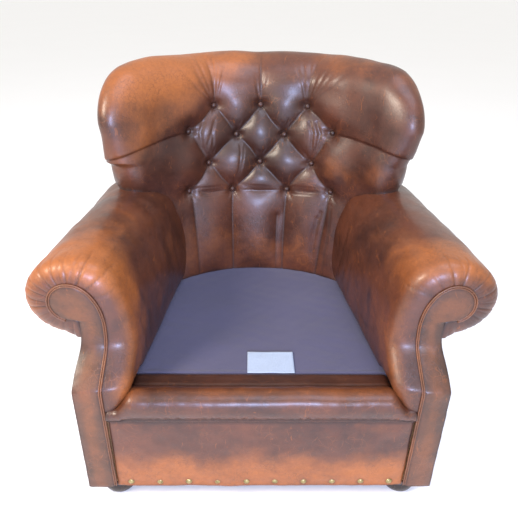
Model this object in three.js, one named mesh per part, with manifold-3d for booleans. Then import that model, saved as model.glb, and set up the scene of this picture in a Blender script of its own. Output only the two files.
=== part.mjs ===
// A worn club chair, with its loose seat cushion missing.
// Millimetres, +Z up. +X is to the right of someone facing the chair, +Y runs towards its back.
// The origin is on the floor, under the middle of the chair's overall box.

import * as THREE from 'three';
import * as BufferGeometryUtils from 'three/addons/utils/BufferGeometryUtils.js';
import Module from 'manifold-3d';

const wasm = await Module();
wasm.setup();

// Driving dimensions. Depths are measured backwards from the flat front of the chair.
const FRONT_Y = -437;          // where depth 0 lies
const GAP = 0.4;               // clearance between pieces that touch

const FOOT_HEIGHT = 50;
const FOOT_RADIUS = 45;
const UNDERSIDE = FOOT_HEIGHT;
const FRAME_BOTTOM = 54;
const RAIL_TOP = 288;
const BOARD = 24;              // thickness of the frame's boards
const SKIN = 5;                // leather over its backing card
const BACK_SKIN = 9;           // the outside back has wadding under its leather

const ARM_SPLAY = 0.118;       // the arms close in by this much per unit of depth
const ROLL_SPREAD = 0.025;     // the outside of the roll closes in by this much less
const ROLL_X = 438;            // centre of the arm roll, at depth 0
const ROLL_Z = 545;
const ROLL_RADIUS = 97;        // upwards
const ROLL_WIDE = 109;         // sideways
const ARM_FACE_X = 313;        // padded inside face of the arm
const ARM_FOOT_Z = 322;        // where the inside arm tucks down behind the deck
const WOOD_X = 397;            // inner face of the boards in the arm

const FACING_INNER = 370;      // at the kink
const FACING_FOOT = 366;       // inner edge at the floor
const FACING_OUTER = 430;
const FACING_NECK = 422;       // outer edge under the scroll head
const HEAD_RADIUS = 43;
const HEAD_WIDE = 68;          // the head's inner side is drawn out to an ellipse
const HEAD_LOW = 480;          // where that ellipse has its centre
const KINK_Z = 358;            // below this the facing is upright at depth 0
const STEP_BACK = 76;          // it slopes back by this much, then stands upright again
const FACING_THICK = 14;
const WELT_RADIUS = 4.5;

const DECK_TOP = 317;
const DECK_THICK = 22;
const DECK_FRONT = 115;
const LIP_HALF = 352;
const SEAM_Z = 266;

const BACK_FOOT_Z = 322;
const BACK_TOP = 980;
const CREST_RADIUS = 80;
const BACK_DEPTH = 645;        // front of the back at the deck, on the centre line
const RAKE = 0.134;            // how far the back leans, per unit of height
const WING_REACH = 175;        // how far the wings come forward ...
const WING_X = 324;            // ... at this distance from the centre line
const WING_POWER = 2.5;
const ARM_TOP = ROLL_Z + ROLL_RADIUS;

const NAIL_COUNT = 10;
const NAIL_PITCH = 72;
const NAIL_Z = 64;
const NAIL_RADIUS = 8.5;
const BUTTON_RADIUS = 9;
const BUTTON_SINK = 22;
// The buttons in rows from the top, each as its distance from the centre line and its height.
const BUTTONS = [
  [-134, 843], [0, 843], [134, 843],
  [-204, 775], [-71, 756], [71, 756], [204, 775],
  [-151, 675], [0, 672], [151, 675],
  [-207, 597], [-83, 587], [83, 587], [207, 597],
];

const leather = { color: 0x7a4a2e, roughness: 0.42, metalness: 0 };
const facingLeather = { color: 0x7d5a40, roughness: 0.45, metalness: 0 };
const wood = { color: 0x9a7348, roughness: 0.7, metalness: 0 };
const footWood = { color: 0x2c1c14, roughness: 0.35, metalness: 0 };
const deckCloth = { color: 0x5f586c, roughness: 0.95, metalness: 0 };
const labelCloth = { color: 0xc9d6e2, roughness: 0.8, metalness: 0 };
const webbing = { color: 0x8a7a55, roughness: 0.95, metalness: 0 };
const dustCloth = { color: 0x1d1c1f, roughness: 0.98, metalness: 0 };
const brass = { color: 0x9a8c5c, roughness: 0.4, metalness: 0.9 };

const chair = new THREE.Group();

function add(name, geometry, finish) {
  const mesh = new THREE.Mesh(geometry, new THREE.MeshStandardMaterial(finish));
  mesh.name = name;
  chair.add(mesh);
}

// ---- helpers on geometry ----

// Moves every vertex by a function of its place: (x, depth, z) => [x, depth, z].
function shaped(geometry, place) {
  const position = geometry.attributes.position;
  for (let i = 0; i < position.count; i++) {
    position.setXYZ(i, ...place(position.getX(i), position.getY(i), position.getZ(i)));
  }
  return geometry;
}

// A shape drawn in (x, z), made solid between two depths.
function acrossDepth(shape, from, to, steps = 1) {
  const geometry = new THREE.ExtrudeGeometry(shape, {
    depth: to - from, steps, bevelEnabled: false, curveSegments: 8,
  });
  return geometry.rotateX(Math.PI / 2).translate(0, to, 0);
}

// A shape drawn in (depth, z), made solid between two values of x.
function acrossWidth(shape, from, to, steps = 1) {
  const geometry = new THREE.ExtrudeGeometry(shape, {
    depth: to - from, steps, bevelEnabled: false, curveSegments: 6,
  });
  const turn = new THREE.Matrix4().makeBasis(
    new THREE.Vector3(0, 1, 0),
    new THREE.Vector3(0, 0, 1),
    new THREE.Vector3(1, 0, 0),
  );
  return geometry.applyMatrix4(turn).translate(from, 0, 0);
}

// A plan drawn in (x, depth), made solid between two heights.
function upright(plan, from, to, steps = 1) {
  const geometry = new THREE.ExtrudeGeometry(plan, {
    depth: to - from, steps, bevelEnabled: false, curveSegments: 8,
  });
  return geometry.translate(0, 0, from);
}

function block(x0, x1, d0, d1, z0, z1) {
  const geometry = new THREE.BoxGeometry(x1 - x0, d1 - d0, z1 - z0);
  return geometry.translate((x0 + x1) / 2, (d0 + d1) / 2, (z0 + z1) / 2);
}

function outline(points) {
  return new THREE.Shape(points.map(([a, b]) => new THREE.Vector2(a, b)));
}

// The same piece on the other side of the chair, with its faces turned to point out again.
function mirrored(geometry) {
  const copy = geometry.index ? geometry.toNonIndexed() : geometry.clone();
  copy.applyMatrix4(new THREE.Matrix4().makeScale(-1, 1, 1));
  const position = copy.attributes.position;
  const a = new THREE.Vector3();
  const b = new THREE.Vector3();
  for (let i = 0; i < position.count; i += 3) {
    a.fromBufferAttribute(position, i);
    b.fromBufferAttribute(position, i + 2);
    position.setXYZ(i, b.x, b.y, b.z);
    position.setXYZ(i + 2, a.x, a.y, a.z);
  }
  return copy;
}

function solid(geometry) {
  const bare = geometry.clone();
  bare.deleteAttribute('normal');
  bare.deleteAttribute('uv');
  const merged = BufferGeometryUtils.mergeVertices(bare, 0.001);
  return new wasm.Manifold(new wasm.Mesh({
    numProp: 3,
    vertProperties: new Float32Array(merged.attributes.position.array),
    triVerts: new Uint32Array(merged.index.array),
  }));
}

function meshOf(body) {
  const mesh = body.simplify(0.05).getMesh();
  const geometry = new THREE.BufferGeometry();
  geometry.setAttribute('position', new THREE.BufferAttribute(mesh.vertProperties, 3));
  geometry.setIndex(new THREE.BufferAttribute(mesh.triVerts, 1));
  return geometry;
}

function cut(geometry, ...tools) {
  return meshOf(tools.reduce((body, tool) => body.subtract(solid(tool)), solid(geometry)));
}

// Puts a piece that was made in depths into the chair's own frame.
function place(name, geometry, finish) {
  add(name, geometry.translate(0, FRONT_Y, 0), finish);
}

function placePair(name, geometry, finish) {
  const other = mirrored(geometry);
  place(`right_${name}`, geometry, finish);
  place(`left_${name}`, other, finish);
}

// ---- the forms that the pieces follow ----

// Depth of the facing's front at a height: upright, sloping back, upright.
function facingDepth(z) {
  return THREE.MathUtils.clamp(z - KINK_Z, 0, STEP_BACK);
}

// Depth at which the pieces behind the facing begin.
function behindFacing(z) {
  return facingDepth(z + 8) + FACING_THICK + 2;
}

const BENDS = [KINK_Z - 8, KINK_Z + STEP_BACK - 8];   // heights where that depth changes slope

// The room in front of that depth, which the facing and its welt take.
function facingRoom() {
  const points = [[-40, 0], [-40, 700], [behindFacing(700), 700]];
  points.push(...[...BENDS].reverse().map((z) => [behindFacing(z), z]), [behindFacing(0), 0]);
  return acrossWidth(outline(points.reverse()), 280, 560);
}

// Closes an arm piece in towards the back.
function splayed(geometry) {
  return shaped(geometry, (x, d, z) => {
    const outside = THREE.MathUtils.clamp((x - FACING_OUTER) / ROLL_WIDE, 0, 1);
    return [x - (ARM_SPLAY - ROLL_SPREAD * outside) * d, d, z];
  });
}

// Stretches a piece made between depths 0 and 1 to run from one depth to another at each height.
function between(geometry, start, end) {
  return shaped(geometry, (x, d, z) => [x, start(z) + d * (end(z) - start(z)), z]);
}

function backFront(z) {
  return BACK_DEPTH + RAKE * (z - DECK_TOP);
}

// How full the crest's section still is at a height: 1 below the crest, then a half circle.
function crestFullness(z) {
  const up = Math.max(0, z - (BACK_TOP - CREST_RADIUS)) / CREST_RADIUS;
  return Math.sqrt(Math.max(0, 1 - up * up));
}

// Half the width of the back's front surface at a height.
function backHalf(z) {
  const widening = 21 * THREE.MathUtils.smoothstep(z, 690, 770);
  return WING_X + widening - 85 * (1 - crestFullness(z));
}

function backThickness(share) {
  return 155 - 45 * share * share;
}

// A point of the back: s across its curved front surface, t behind that surface, z up.
function onBack(s, t, z) {
  const half = backHalf(z);
  const x = THREE.MathUtils.clamp(s, -half, half);
  const beyond = s - x;
  const reach = Math.abs(x) / WING_X;
  const slope = Math.sign(x) * WING_POWER * (WING_REACH / WING_X) * reach ** (WING_POWER - 1);
  const length = Math.hypot(1, slope);
  const front = backFront(z) - WING_REACH * reach ** WING_POWER;
  return [
    x + (beyond + t * slope) / length,
    front + (t - beyond * slope) / length,
    z,
  ];
}

// A closed row of points, forwards at b0 and back again at b1, over the full width.
function row(parts, b0, b1) {
  const across = Array.from({ length: parts + 1 }, (_, i) => -1 + (2 * i) / parts);
  return [...across.map((a) => [a, b0]), ...across.reverse().map((a) => [a, b1])];
}

// An upright slab laid along the back. It is drawn bowed, so that its flat ends mesh cleanly,
// and the bow is taken out again as each point goes to its place.
function backSlab(points, z0, z1, steps, placePoint) {
  const bow = (a) => 0.5 * (1 - a * a);
  const drawn = outline(points.map(([a, b]) => [a, b + bow(a)]));
  return shaped(upright(drawn, z0, z1, steps), (a, y, z) => placePoint(a, y - bow(a), z));
}

// A band that follows the back's curve, from t0 to t1 behind its front, between two heights.
function curvedBand(half, t0, t1, z0, z1) {
  return backSlab(row(8, 0, 1), z0, z1, 1, (a, b, z) => onBack(a * half, t0 + b * (t1 - t0), z));
}

// ---- frame ----

const postLean = (z) => 596 + RAKE * (z - ARM_TOP);
const postFront = (z) => postLean(z) - 20;

function frontRail() {
  return block(-392, 392, 15, 15 + BOARD, FRAME_BOTTOM, SEAM_Z - 4);
}

function cornerBlock() {
  return block(326, 413, 42, 92, FRAME_BOTTOM, 130);
}

function frontPost() {
  return splayed(block(WOOD_X, WOOD_X + BOARD, 94, 150, FRAME_BOTTOM, 455));
}

function sideRail() {
  const board = block(WOOD_X, WOOD_X + BOARD, 0, 1, FRAME_BOTTOM, RAIL_TOP);
  return splayed(between(board, () => 152, (z) => postFront(z) - 2));
}

function armRail() {
  const board = block(WOOD_X, WOOD_X + BOARD, 0, 1, 458, 538);
  return splayed(between(board, () => 152, (z) => postFront(z) - 2));
}

function backPost(grow = 0) {
  const base = [FRAME_BOTTOM, 450, 852];
  const points = base.map((z) => [postFront(z) - grow, z]);
  points.push(...base.reverse().map((z) => [postLean(z) + 20 + grow, z]));
  const board = acrossWidth(outline(points), WOOD_X - 2 - grow, WOOD_X - 2 + BOARD + grow);
  return splayed(board);
}

function plan(halfAt, front, rear) {
  const parts = 10;
  const points = [[-halfAt(front), front], [halfAt(front), front]];
  for (let i = parts; i >= 0; i--) {
    const [x, d] = onBack(-245 + (490 * i) / parts, rear.t, rear.z);
    points.push([x, d]);
  }
  return outline(points);
}

placePair('front_corner_block', cornerBlock(), wood);
placePair('front_post', frontPost(), wood);
placePair('side_rail', sideRail(), wood);
placePair('arm_rail', armRail(), wood);
placePair('back_post', backPost(), wood);
place('back_rail', curvedBand(250, 84, 108, FRAME_BOTTOM, RAIL_TOP), wood);
place('back_lower_rail', curvedBand(200, 70, 94, 330, 380), wood);
place('back_top_rail', curvedBand(240, 70, 94, 790, 850), wood);

// ---- seat ----

const insideArm = (d) => WOOD_X - 5 - ARM_SPLAY * d;

function webbingStrip(d) {
  const half = WOOD_X + BOARD - 3 - ARM_SPLAY * d;
  return block(-half, half, d - 25, d + 25, RAIL_TOP + GAP, RAIL_TOP + 3);
}

function seatDeck() {
  const form = plan(insideArm, DECK_FRONT, { t: 104, z: DECK_TOP });
  return upright(form, DECK_TOP - DECK_THICK, DECK_TOP);
}

function dustCover() {
  const form = plan(insideArm, 44, { t: 80, z: UNDERSIDE });
  return upright(form, UNDERSIDE + GAP, UNDERSIDE + 2.4);
}

function lipProfile() {
  const shape = new THREE.Shape();
  shape.moveTo(4, SEAM_Z);
  shape.bezierCurveTo(-6, SEAM_Z + 12, -8, 318, 2, 328);
  shape.bezierCurveTo(12, 340, 42, 342, 62, 324);
  shape.lineTo(DECK_FRONT - 3, 321);
  shape.lineTo(DECK_FRONT - 3, 299);
  shape.lineTo(64, 299);
  shape.lineTo(42, SEAM_Z);
  return shape;
}

for (const [i, d] of [210, 330, 450].entries()) place(`seat_webbing_${i + 1}`, webbingStrip(d), webbing);
place('seat_deck', seatDeck(), deckCloth);
place('dust_cover', dustCover(), dustCloth);
place('front_lip', acrossWidth(lipProfile(), -LIP_HALF, LIP_HALF), leather);
place('deck_label', block(-35, 83, DECK_FRONT + 1, 200, DECK_TOP + GAP, DECK_TOP + 1.6), labelCloth);

// ---- front panel and its nails ----

const nailPlaces = Array.from({ length: NAIL_COUNT }, (_, i) => (i - (NAIL_COUNT - 1) / 2) * NAIL_PITCH);
const PANEL_FRONT = 6;

// A short round bar along the depth, from one depth to another.
function bar(radius, x, z, from, to, sides) {
  const geometry = new THREE.CylinderGeometry(radius, radius, to - from, sides);
  return geometry.translate(x, (from + to) / 2, z);
}

function nail(x) {
  const profile = [[0, 15], [1.3, 15], [1.3, 0.3], [NAIL_RADIUS, 0.3], [6.4, -3.2], [0, -5]];
  const points = profile.map(([r, h]) => new THREE.Vector2(r, -h));
  const geometry = new THREE.LatheGeometry(points, 9);
  // The lathe turns about +Y; its head is turned to face the front.
  return geometry.rotateX(Math.PI).translate(x, PANEL_FRONT - 0.7, NAIL_Z);
}

const nailHoles = nailPlaces.map((x) => bar(1.8, x, NAIL_Z, 0, 22, 6));
place('front_panel', cut(block(-355, 355, PANEL_FRONT, PANEL_FRONT + SKIN, UNDERSIDE + 1, SEAM_Z - 2), ...nailHoles), leather);
place('front_rail', cut(frontRail(), ...nailHoles), wood);
for (const [i, x] of nailPlaces.entries()) {
  place(`front_nail_${String(i + 1).padStart(2, '0')}`, nail(x), brass);
}

// ---- arms ----

// The inside arm and its roll: a tall pad whose top is a round roll, slotted from below for the arm rail.
function armProfile() {
  const shape = new THREE.Shape();
  const slot = [WOOD_X - 3.5, WOOD_X + BOARD + 3];
  const meet = ROLL_Z - 70;
  shape.moveTo(slot[0], ARM_FOOT_Z);
  for (const z of BENDS) shape.lineTo(slot[0], z);
  shape.lineTo(slot[0], 542);
  shape.lineTo(slot[1], 542);
  shape.lineTo(slot[1], ROLL_Z - 94);
  shape.absellipse(ROLL_X, ROLL_Z, ROLL_WIDE, ROLL_RADIUS, -1.63, Math.PI * 0.98, false, 0);
  shape.bezierCurveTo(ROLL_X - ROLL_WIDE - 2, ROLL_Z - 25, ARM_FACE_X, meet + 25, ARM_FACE_X, meet - 20);
  for (const z of [...BENDS].reverse()) shape.lineTo(ARM_FACE_X, z);
  shape.lineTo(ARM_FACE_X, ARM_FOOT_Z);
  return shape;
}

// Rounds the pad's front end in, over a quarter circle, towards the facing.
function roundedFront(geometry) {
  const round = 45;
  return shaped(geometry, (x, d, z) => {
    const along = THREE.MathUtils.clamp((d - behindFacing(z)) / round, 0, 1);
    const inset = 1 - Math.sqrt(1 - (1 - along) ** 2);
    if (z >= 470 || x > WOOD_X + BOARD + 2) {
      const keep = 1 - 0.42 * inset;
      return [ROLL_X + (x - ROLL_X) * keep, d, ROLL_Z + (z - ROLL_Z) * keep];
    }
    return [x < 356 ? x + (356 - x) * inset * 0.9 : x, d, z];
  });
}

function armPad() {
  const steps = 12;
  const ease = (v) => v * v * 0.75 + v * 0.25;
  const long = shaped(acrossDepth(armProfile(), 0, 1, steps), (x, d, z) => [x, ease(d), z]);
  const pad = between(long, behindFacing, (z) => backFront(z) - 39);
  const underLip = block(200, 392, 0, DECK_FRONT + 8, 300, 342);
  return cut(splayed(roundedFront(pad)), splayed(underLip), backPost(2.5), facingRoom());
}

function facingOutline() {
  const shape = new THREE.Shape();
  const tall = ROLL_Z + HEAD_RADIUS - HEAD_LOW;
  shape.moveTo(FACING_FOOT, UNDERSIDE);
  shape.lineTo(FACING_OUTER, UNDERSIDE);
  shape.lineTo(FACING_OUTER, KINK_Z + 20);
  shape.quadraticCurveTo(FACING_NECK, 425, FACING_NECK, ROLL_Z - HEAD_RADIUS);
  shape.absarc(ROLL_X, ROLL_Z, HEAD_RADIUS, -1.5, Math.PI / 2, false);
  shape.absellipse(ROLL_X, HEAD_LOW, HEAD_WIDE, tall, Math.PI / 2, Math.PI, false, 0);
  shape.lineTo(FACING_INNER, KINK_Z);
  return shape;
}

function facing() {
  const side = outline([
    [0, 0], [0, KINK_Z], [STEP_BACK, KINK_Z + STEP_BACK], [STEP_BACK, 700],
    [STEP_BACK + FACING_THICK, 700], [STEP_BACK + FACING_THICK, KINK_Z + STEP_BACK - 6],
    [FACING_THICK, KINK_Z - 6], [FACING_THICK, 0],
  ].reverse());
  const front = solid(acrossDepth(facingOutline(), -20, 130));
  return meshOf(front.intersect(solid(acrossWidth(side, 300, 520))));
}

// The welt's line: up the facing's inner edge, over the scroll head and down to the neck.
function weltPath() {
  const off = WELT_RADIUS + 1.2;
  const tall = ROLL_Z + HEAD_RADIUS - HEAD_LOW;
  const line = [[FACING_FOOT - off, UNDERSIDE + 4], [FACING_INNER - off - 2, 200], [FACING_INNER - off, 340]];
  line.push([FACING_INNER - off, 372], [FACING_INNER - off, 410], [FACING_INNER - off, 440]);
  for (let a = 180; a > 90; a -= 18) {
    const turn = THREE.MathUtils.degToRad(a);
    line.push([ROLL_X + (HEAD_WIDE + off) * Math.cos(turn), HEAD_LOW + (tall + off) * Math.sin(turn)]);
  }
  for (let a = 90; a >= -72; a -= 27) {
    const turn = THREE.MathUtils.degToRad(a);
    line.push([ROLL_X + (HEAD_RADIUS + off) * Math.cos(turn), ROLL_Z + (HEAD_RADIUS + off) * Math.sin(turn)]);
  }
  const points = line.map(([x, z]) => new THREE.Vector3(x, facingDepth(z) + 4, z));
  return new THREE.CatmullRomCurve3(points, false, 'centripetal');
}

function facingWelt() {
  const section = new THREE.Shape();
  section.absarc(0, 0, WELT_RADIUS, 0, 2 * Math.PI, false);
  return new THREE.ExtrudeGeometry(section, {
    extrudePath: weltPath(), steps: 36, bevelEnabled: false, curveSegments: 3,
  });
}

function outsideArm() {
  const heights = [UNDERSIDE + 1, ...BENDS, 444];
  const outer = heights.map((z) => [FACING_OUTER, z]);
  const inner = heights.reverse().map((z) => [FACING_OUTER - 4, z]);
  const panel = acrossDepth(outline([...outer, ...inner]), 0, 1);
  const sheet = splayed(between(panel, behindFacing, (z) => backFront(z) - 44));
  return cut(sheet, facingRoom());
}

placePair('arm_pad', armPad(), leather);
placePair('facing', facing(), facingLeather);
placePair('facing_welt', facingWelt(), facingLeather);
placePair('outside_arm', outsideArm(), leather);

// ---- back ----

// The back's whole form: a curved, raked slab with round wing edges and a round crest.
function backForm() {
  const turns = 5;
  const bulge = 0.1;             // how far the drawn round edge stands beyond the flat part
  const edge = Array.from({ length: turns - 1 }, (_, i) => (Math.PI * (i + 1)) / turns);
  const flat = row(14, 0, 1);
  const points = [
    ...flat.slice(0, 15),
    ...edge.map((turn) => [1 + bulge * Math.sin(turn), (1 - Math.cos(turn)) / 2]),
    ...flat.slice(15),
    ...edge.reverse().map((turn) => [-1 - bulge * Math.sin(turn), (1 - Math.cos(turn)) / 2]),
  ];
  const straight = 0.6;          // share of the steps below the crest
  const crestFoot = BACK_TOP - CREST_RADIUS;
  return backSlab(points, 0, 1, 16, (a, b, v) => {
    const turn = THREE.MathUtils.degToRad(78) * Math.max(0, v - straight) / (1 - straight);
    const low = BACK_FOOT_Z + (crestFoot - BACK_FOOT_Z) * Math.min(1, v / straight);
    const z = low + CREST_RADIUS * Math.sin(turn);
    const share = THREE.MathUtils.clamp(a, -1, 1);
    const thick = backThickness(share);
    const fullness = crestFullness(z);
    const beyond = ((a - share) / bulge) * thick * 0.5 * fullness;
    return onBack(share * backHalf(z) + beyond, thick * (0.5 + (b - 0.5) * fullness), z);
  });
}

// The hollow behind the padding, where the frame stands. It is open to the back and below.
function backHollow() {
  return backSlab(row(12, 0, 1), 310, 880, 12, (a, b, z) => {
    const near = 60 - 28 * a * a;
    return onBack(a * (backHalf(z) - 4), near + b * (180 - near), z);
  });
}

// The room that the arms take, which the back's foot is shaped round.
function armRoom() {
  const shape = new THREE.Shape();
  const clear = 3;
  shape.moveTo(ARM_FACE_X - 3, 250);
  shape.lineTo(700, 250);
  shape.lineTo(700, ARM_TOP + clear);
  shape.lineTo(ROLL_X, ARM_TOP + clear);
  shape.absellipse(ROLL_X, ROLL_Z, ROLL_WIDE + clear, ROLL_RADIUS + clear, Math.PI / 2, Math.PI * 0.97, false, 0);
  shape.lineTo(ARM_FACE_X - 3, ROLL_Z - 80);
  return splayed(acrossDepth(shape, 300, 950));
}

// The skin that closes the back from behind: narrow between the arms, wider above them.
function outsideBack() {
  const low = 272;
  const heights = [UNDERSIDE + 1, 200, 350, 500, ARM_TOP + 2, ARM_TOP + 10, 740, 810, 874];
  const steps = heights.length - 1;
  return backSlab(row(12, 0, 1), 0, 1, steps, (a, b, v) => {
    const z = heights[Math.round(v * steps)];
    const s = a * (z <= ARM_TOP + 2 ? low : backHalf(z) - 14);
    return onBack(s, backThickness(s / backHalf(z)) - 4 + (b - 1) * BACK_SKIN, z);
  });
}

const buttonPlaces = BUTTONS.map(([x, z]) => ({ x, z }));

// Turns a piece made along +Y, at the origin, to stand square to the back at a button.
function atButton(geometry, { x, z }, sink) {
  const [px, pd] = onBack(x, sink, z);
  const [qx, qd] = onBack(x, sink + 1, z);
  const turn = new THREE.Quaternion().setFromUnitVectors(
    new THREE.Vector3(0, 1, 0),
    new THREE.Vector3(qx - px, qd - pd, -RAKE).normalize(),
  );
  return geometry.applyQuaternion(turn).translate(px, pd, z);
}

// The pull of a button: a cone that opens forwards.
function dimple(spot) {
  const cone = new THREE.CylinderGeometry(BUTTON_RADIUS + 2, 58, BUTTON_SINK + 20, 8);
  return atButton(cone.translate(0, -(BUTTON_SINK + 20) / 2, 0), spot, BUTTON_SINK);
}

function button(spot) {
  const profile = [[0, -9], [5, -8], [7.6, -5.5], [BUTTON_RADIUS, -2.5], [7.6, -0.8], [0, -0.6]];
  const points = profile.map(([r, h]) => new THREE.Vector2(r, h));
  return atButton(new THREE.LatheGeometry(points, 8), spot, BUTTON_SINK);
}

function backPad() {
  const room = armRoom();
  return cut(backForm(), backHollow(), room, mirrored(room), ...buttonPlaces.map(dimple));
}

place('back_pad', backPad(), leather);
place('outside_back', outsideBack(), leather);
for (const [i, spot] of buttonPlaces.entries()) {
  place(`back_button_${String(i + 1).padStart(2, '0')}`, button(spot), leather);
}

// ---- feet ----

function foot(x, d) {
  const profile = [[0, 0], [36, 0], [41, 8], [FOOT_RADIUS, 22], [42, 36], [32, 43], [32, FOOT_HEIGHT], [0, FOOT_HEIGHT]];
  const points = profile.map(([r, h]) => new THREE.Vector2(r, h));
  return new THREE.LatheGeometry(points, 14).rotateX(Math.PI / 2).translate(x, d, 0);
}

placePair('front_foot', foot(366, 60), footWood);
placePair('back_foot', foot(252, 637), footWood);

export default chair;
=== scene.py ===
import math

import bmesh
import bpy
import numpy as np
from bpy.props import FloatProperty, FloatVectorProperty, PointerProperty
from mathutils import Matrix, Vector


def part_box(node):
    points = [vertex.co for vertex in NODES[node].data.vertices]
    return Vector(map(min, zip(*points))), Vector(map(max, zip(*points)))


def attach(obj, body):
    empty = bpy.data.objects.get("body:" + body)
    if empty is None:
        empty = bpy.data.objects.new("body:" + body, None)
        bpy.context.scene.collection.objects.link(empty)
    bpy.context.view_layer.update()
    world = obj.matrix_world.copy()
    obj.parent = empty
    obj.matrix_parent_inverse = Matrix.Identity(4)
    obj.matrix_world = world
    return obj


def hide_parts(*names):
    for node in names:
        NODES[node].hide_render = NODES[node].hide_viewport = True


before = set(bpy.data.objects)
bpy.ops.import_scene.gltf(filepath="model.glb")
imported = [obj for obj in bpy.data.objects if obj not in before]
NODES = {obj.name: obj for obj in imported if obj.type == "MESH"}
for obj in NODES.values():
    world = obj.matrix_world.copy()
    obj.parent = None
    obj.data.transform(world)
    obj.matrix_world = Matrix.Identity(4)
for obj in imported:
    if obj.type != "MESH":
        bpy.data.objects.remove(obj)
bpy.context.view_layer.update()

bl_info = {
    "name": "Worn Club Chair",
    "version": (1, 0, 0),
    "blender": (4, 5, 0),
    "location": "View3D > Sidebar > Club Chair",
    "description": "Upholsters a worn leather club chair round its packed frame",
    "category": "Add Mesh",
}

MM = 0.001
SAME_PLACE = 0.01 * MM


# ---- sizes taken from the frame, in millimetres ----
# Places are written as x, depth and height. Depth 0 is the flat front of the chair.


def corner(node, end, axis):
    """One number of a CAD node's box: end 0 is its lowest corner, end 1 its highest."""
    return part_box(node)[end][axis] / MM


FRONT_Y = corner("right_facing", 0, 1)
UNDERSIDE = corner("right_facing", 0, 2)
DECK_TOP = corner("seat_deck", 1, 2)
DECK_FRONT = corner("seat_deck", 0, 1) - FRONT_Y
ARM_TOP = corner("right_arm_pad", 1, 2)
PANEL_TOP = corner("front_panel", 1, 2)
PANEL_HALF = corner("front_panel", 1, 0)

ARM_SPLAY = 0.118
ROLL_SPREAD = 0.025
ROLL_RADIUS = 97.0
ROLL_WIDE = 109.0
ROLL = np.array([438.0, ARM_TOP - ROLL_RADIUS])
ARM_FACE_X = 313.0
FACING_INNER = 370.0
FACING_FOOT = 366.0
FACING_OUTER = 430.0
FACING_NECK = 422.0
HEAD_RADIUS = 43.0
HEAD_WIDE = 68.0
HEAD_TALL = 108.0
HEAD_LOW = ROLL[1] + HEAD_RADIUS - HEAD_TALL
KINK_Z = 358.0
STEP_BACK = 76.0
SHARP_BEND = 4.0
SOFT_BEND = 16.0
LIP_HALF = 352.0
SEAM_Z = PANEL_TOP + 2.0
SKIN_MM = 4.5

BACK_DEPTH = 645.0
RAKE = 0.134
WING_REACH = 175.0
WING_X = 324.0
WING_POWER = 2.5
CREST_FOOT = 900.0
CREST_RISE = 79.0
WING_FLAT = 308.0
CORNER_ROUND = 68.0


# ---- colours ----


def linear(code):
    """An sRGB hex colour as linear red, green and blue."""
    parts = [int(code[i:i + 2], 16) / 255 for i in (1, 3, 5)]
    return tuple(p / 12.92 if p <= 0.04045 else ((p + 0.055) / 1.055) ** 2.4 for p in parts)


def colour(name, description, code):
    return FloatVectorProperty(
        name=name, description=description, subtype="COLOR", size=3,
        min=0.0, max=1.0, default=linear(code),
    )


def length(name, description, millimetres):
    return FloatProperty(
        name=name, description=description, unit="LENGTH",
        min=0.0, default=millimetres * MM, precision=4,
    )


class ChairSizes(bpy.types.PropertyGroup):
    pillow_rise: length("Pillow rise", "How far the tufted pillows swell", 92)
    panel_rise: length("Panel rise", "How far the plain leather round them swells", 14)
    pleat_sink: length("Pleat sink", "Depth of the folds between buttons", 8)
    button_sink: length("Button sink", "How far the buttons pull in", 21)
    button_radius: length("Button radius", "Radius of a covered button", 8)
    scroll_round: length("Scroll rounding", "How far the arm front rounds over", 46)
    gather_sink: length("Gather sink", "Depth of the gathers round the scroll", 0.9)
    cord_radius: length("Cord radius", "Radius of one cord of the welt", 2.1)
    nail_radius: length("Nail radius", "Radius of a nail head", 8.5)
    nail_rise: length("Nail rise", "Height of a nail head", 4.6)
    deck_sag: length("Deck sag", "How far the deck cloth hangs in the middle", 4)
    hide_thickness: length("Hide thickness", "Leather and wadding together", 10)


class ChairColours(bpy.types.PropertyGroup):
    # The darkest hide: the colour of the dry creases in the grain, and painted shade in folds,
    # seams and hollows.
    hide_deep: colour("Hide, folds", "Leather in its folds", "#1a0c08")
    hide_dark: colour("Hide, dark", "Leather where the dressing is thick", "#371e16")
    hide_mid: colour("Hide, middle", "Most of the leather", "#5c3220")
    # Pale worn leather, also used to paint sunlight and a highlight on the back's upper left and
    # the left arm.
    hide_worn: colour("Hide, worn", "Leather rubbed pale", "#9c5826")
    facing_mid: colour("Facing", "Leather on the front facings", "#623a24")
    facing_dark: colour("Facing, dark", "Darker leather on the facings", "#3a2213")
    deck_cloth: colour("Deck cloth", "Cloth under the missing cushion", "#44415a")
    label_cloth: colour("Label", "Blank woven label", "#a9b6c9")
    brass: colour("Brass", "Nail heads", "#a8986a")
    tarnish: colour("Tarnish", "Dull brass round the nail heads", "#5c5030")
    foot_stain: colour("Foot stain", "Stained beech of the feet", "#2a1a12")
    frame_wood: colour("Frame wood", "Bare hardwood inside", "#a9815a")
    webbing: colour("Webbing", "Jute webbing", "#8d7c58")
    dust_cloth: colour("Dust cloth", "Black cloth under the chair", "#1c1b1e")


def sizes():
    return bpy.context.scene.chair_sizes


def mm(name):
    """A size from the panel, in millimetres."""
    return getattr(sizes(), name) / MM


# ---- shape helpers ----


def smoothstep(value, low, high):
    share = np.clip((value - low) / (high - low), 0.0, 1.0)
    return share * share * (3.0 - 2.0 * share)


def undulation(points, wavelength, seed):
    """Smooth unevenness between about -1 and 1, the same on every run."""
    random = np.random.default_rng(seed)
    total = np.zeros(points.shape[:-1])
    waves = 7
    for _ in range(waves):
        turn = random.normal(size=points.shape[-1])
        turn *= 2 * math.pi / wavelength / np.linalg.norm(turn) * random.uniform(0.7, 1.4)
        total += np.sin(points @ turn + random.uniform(0, 2 * math.pi))
    return total / math.sqrt(waves)


def stations(low, high, spacing):
    """Stops from low to high, spaced as the function spacing says at each stop."""
    stops = [low]
    while stops[-1] < high:
        stops.append(stops[-1] + spacing(stops[-1]))
    stops = np.array(stops)
    return low + (stops - low) * (high - low) / (stops[-1] - low)


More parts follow.
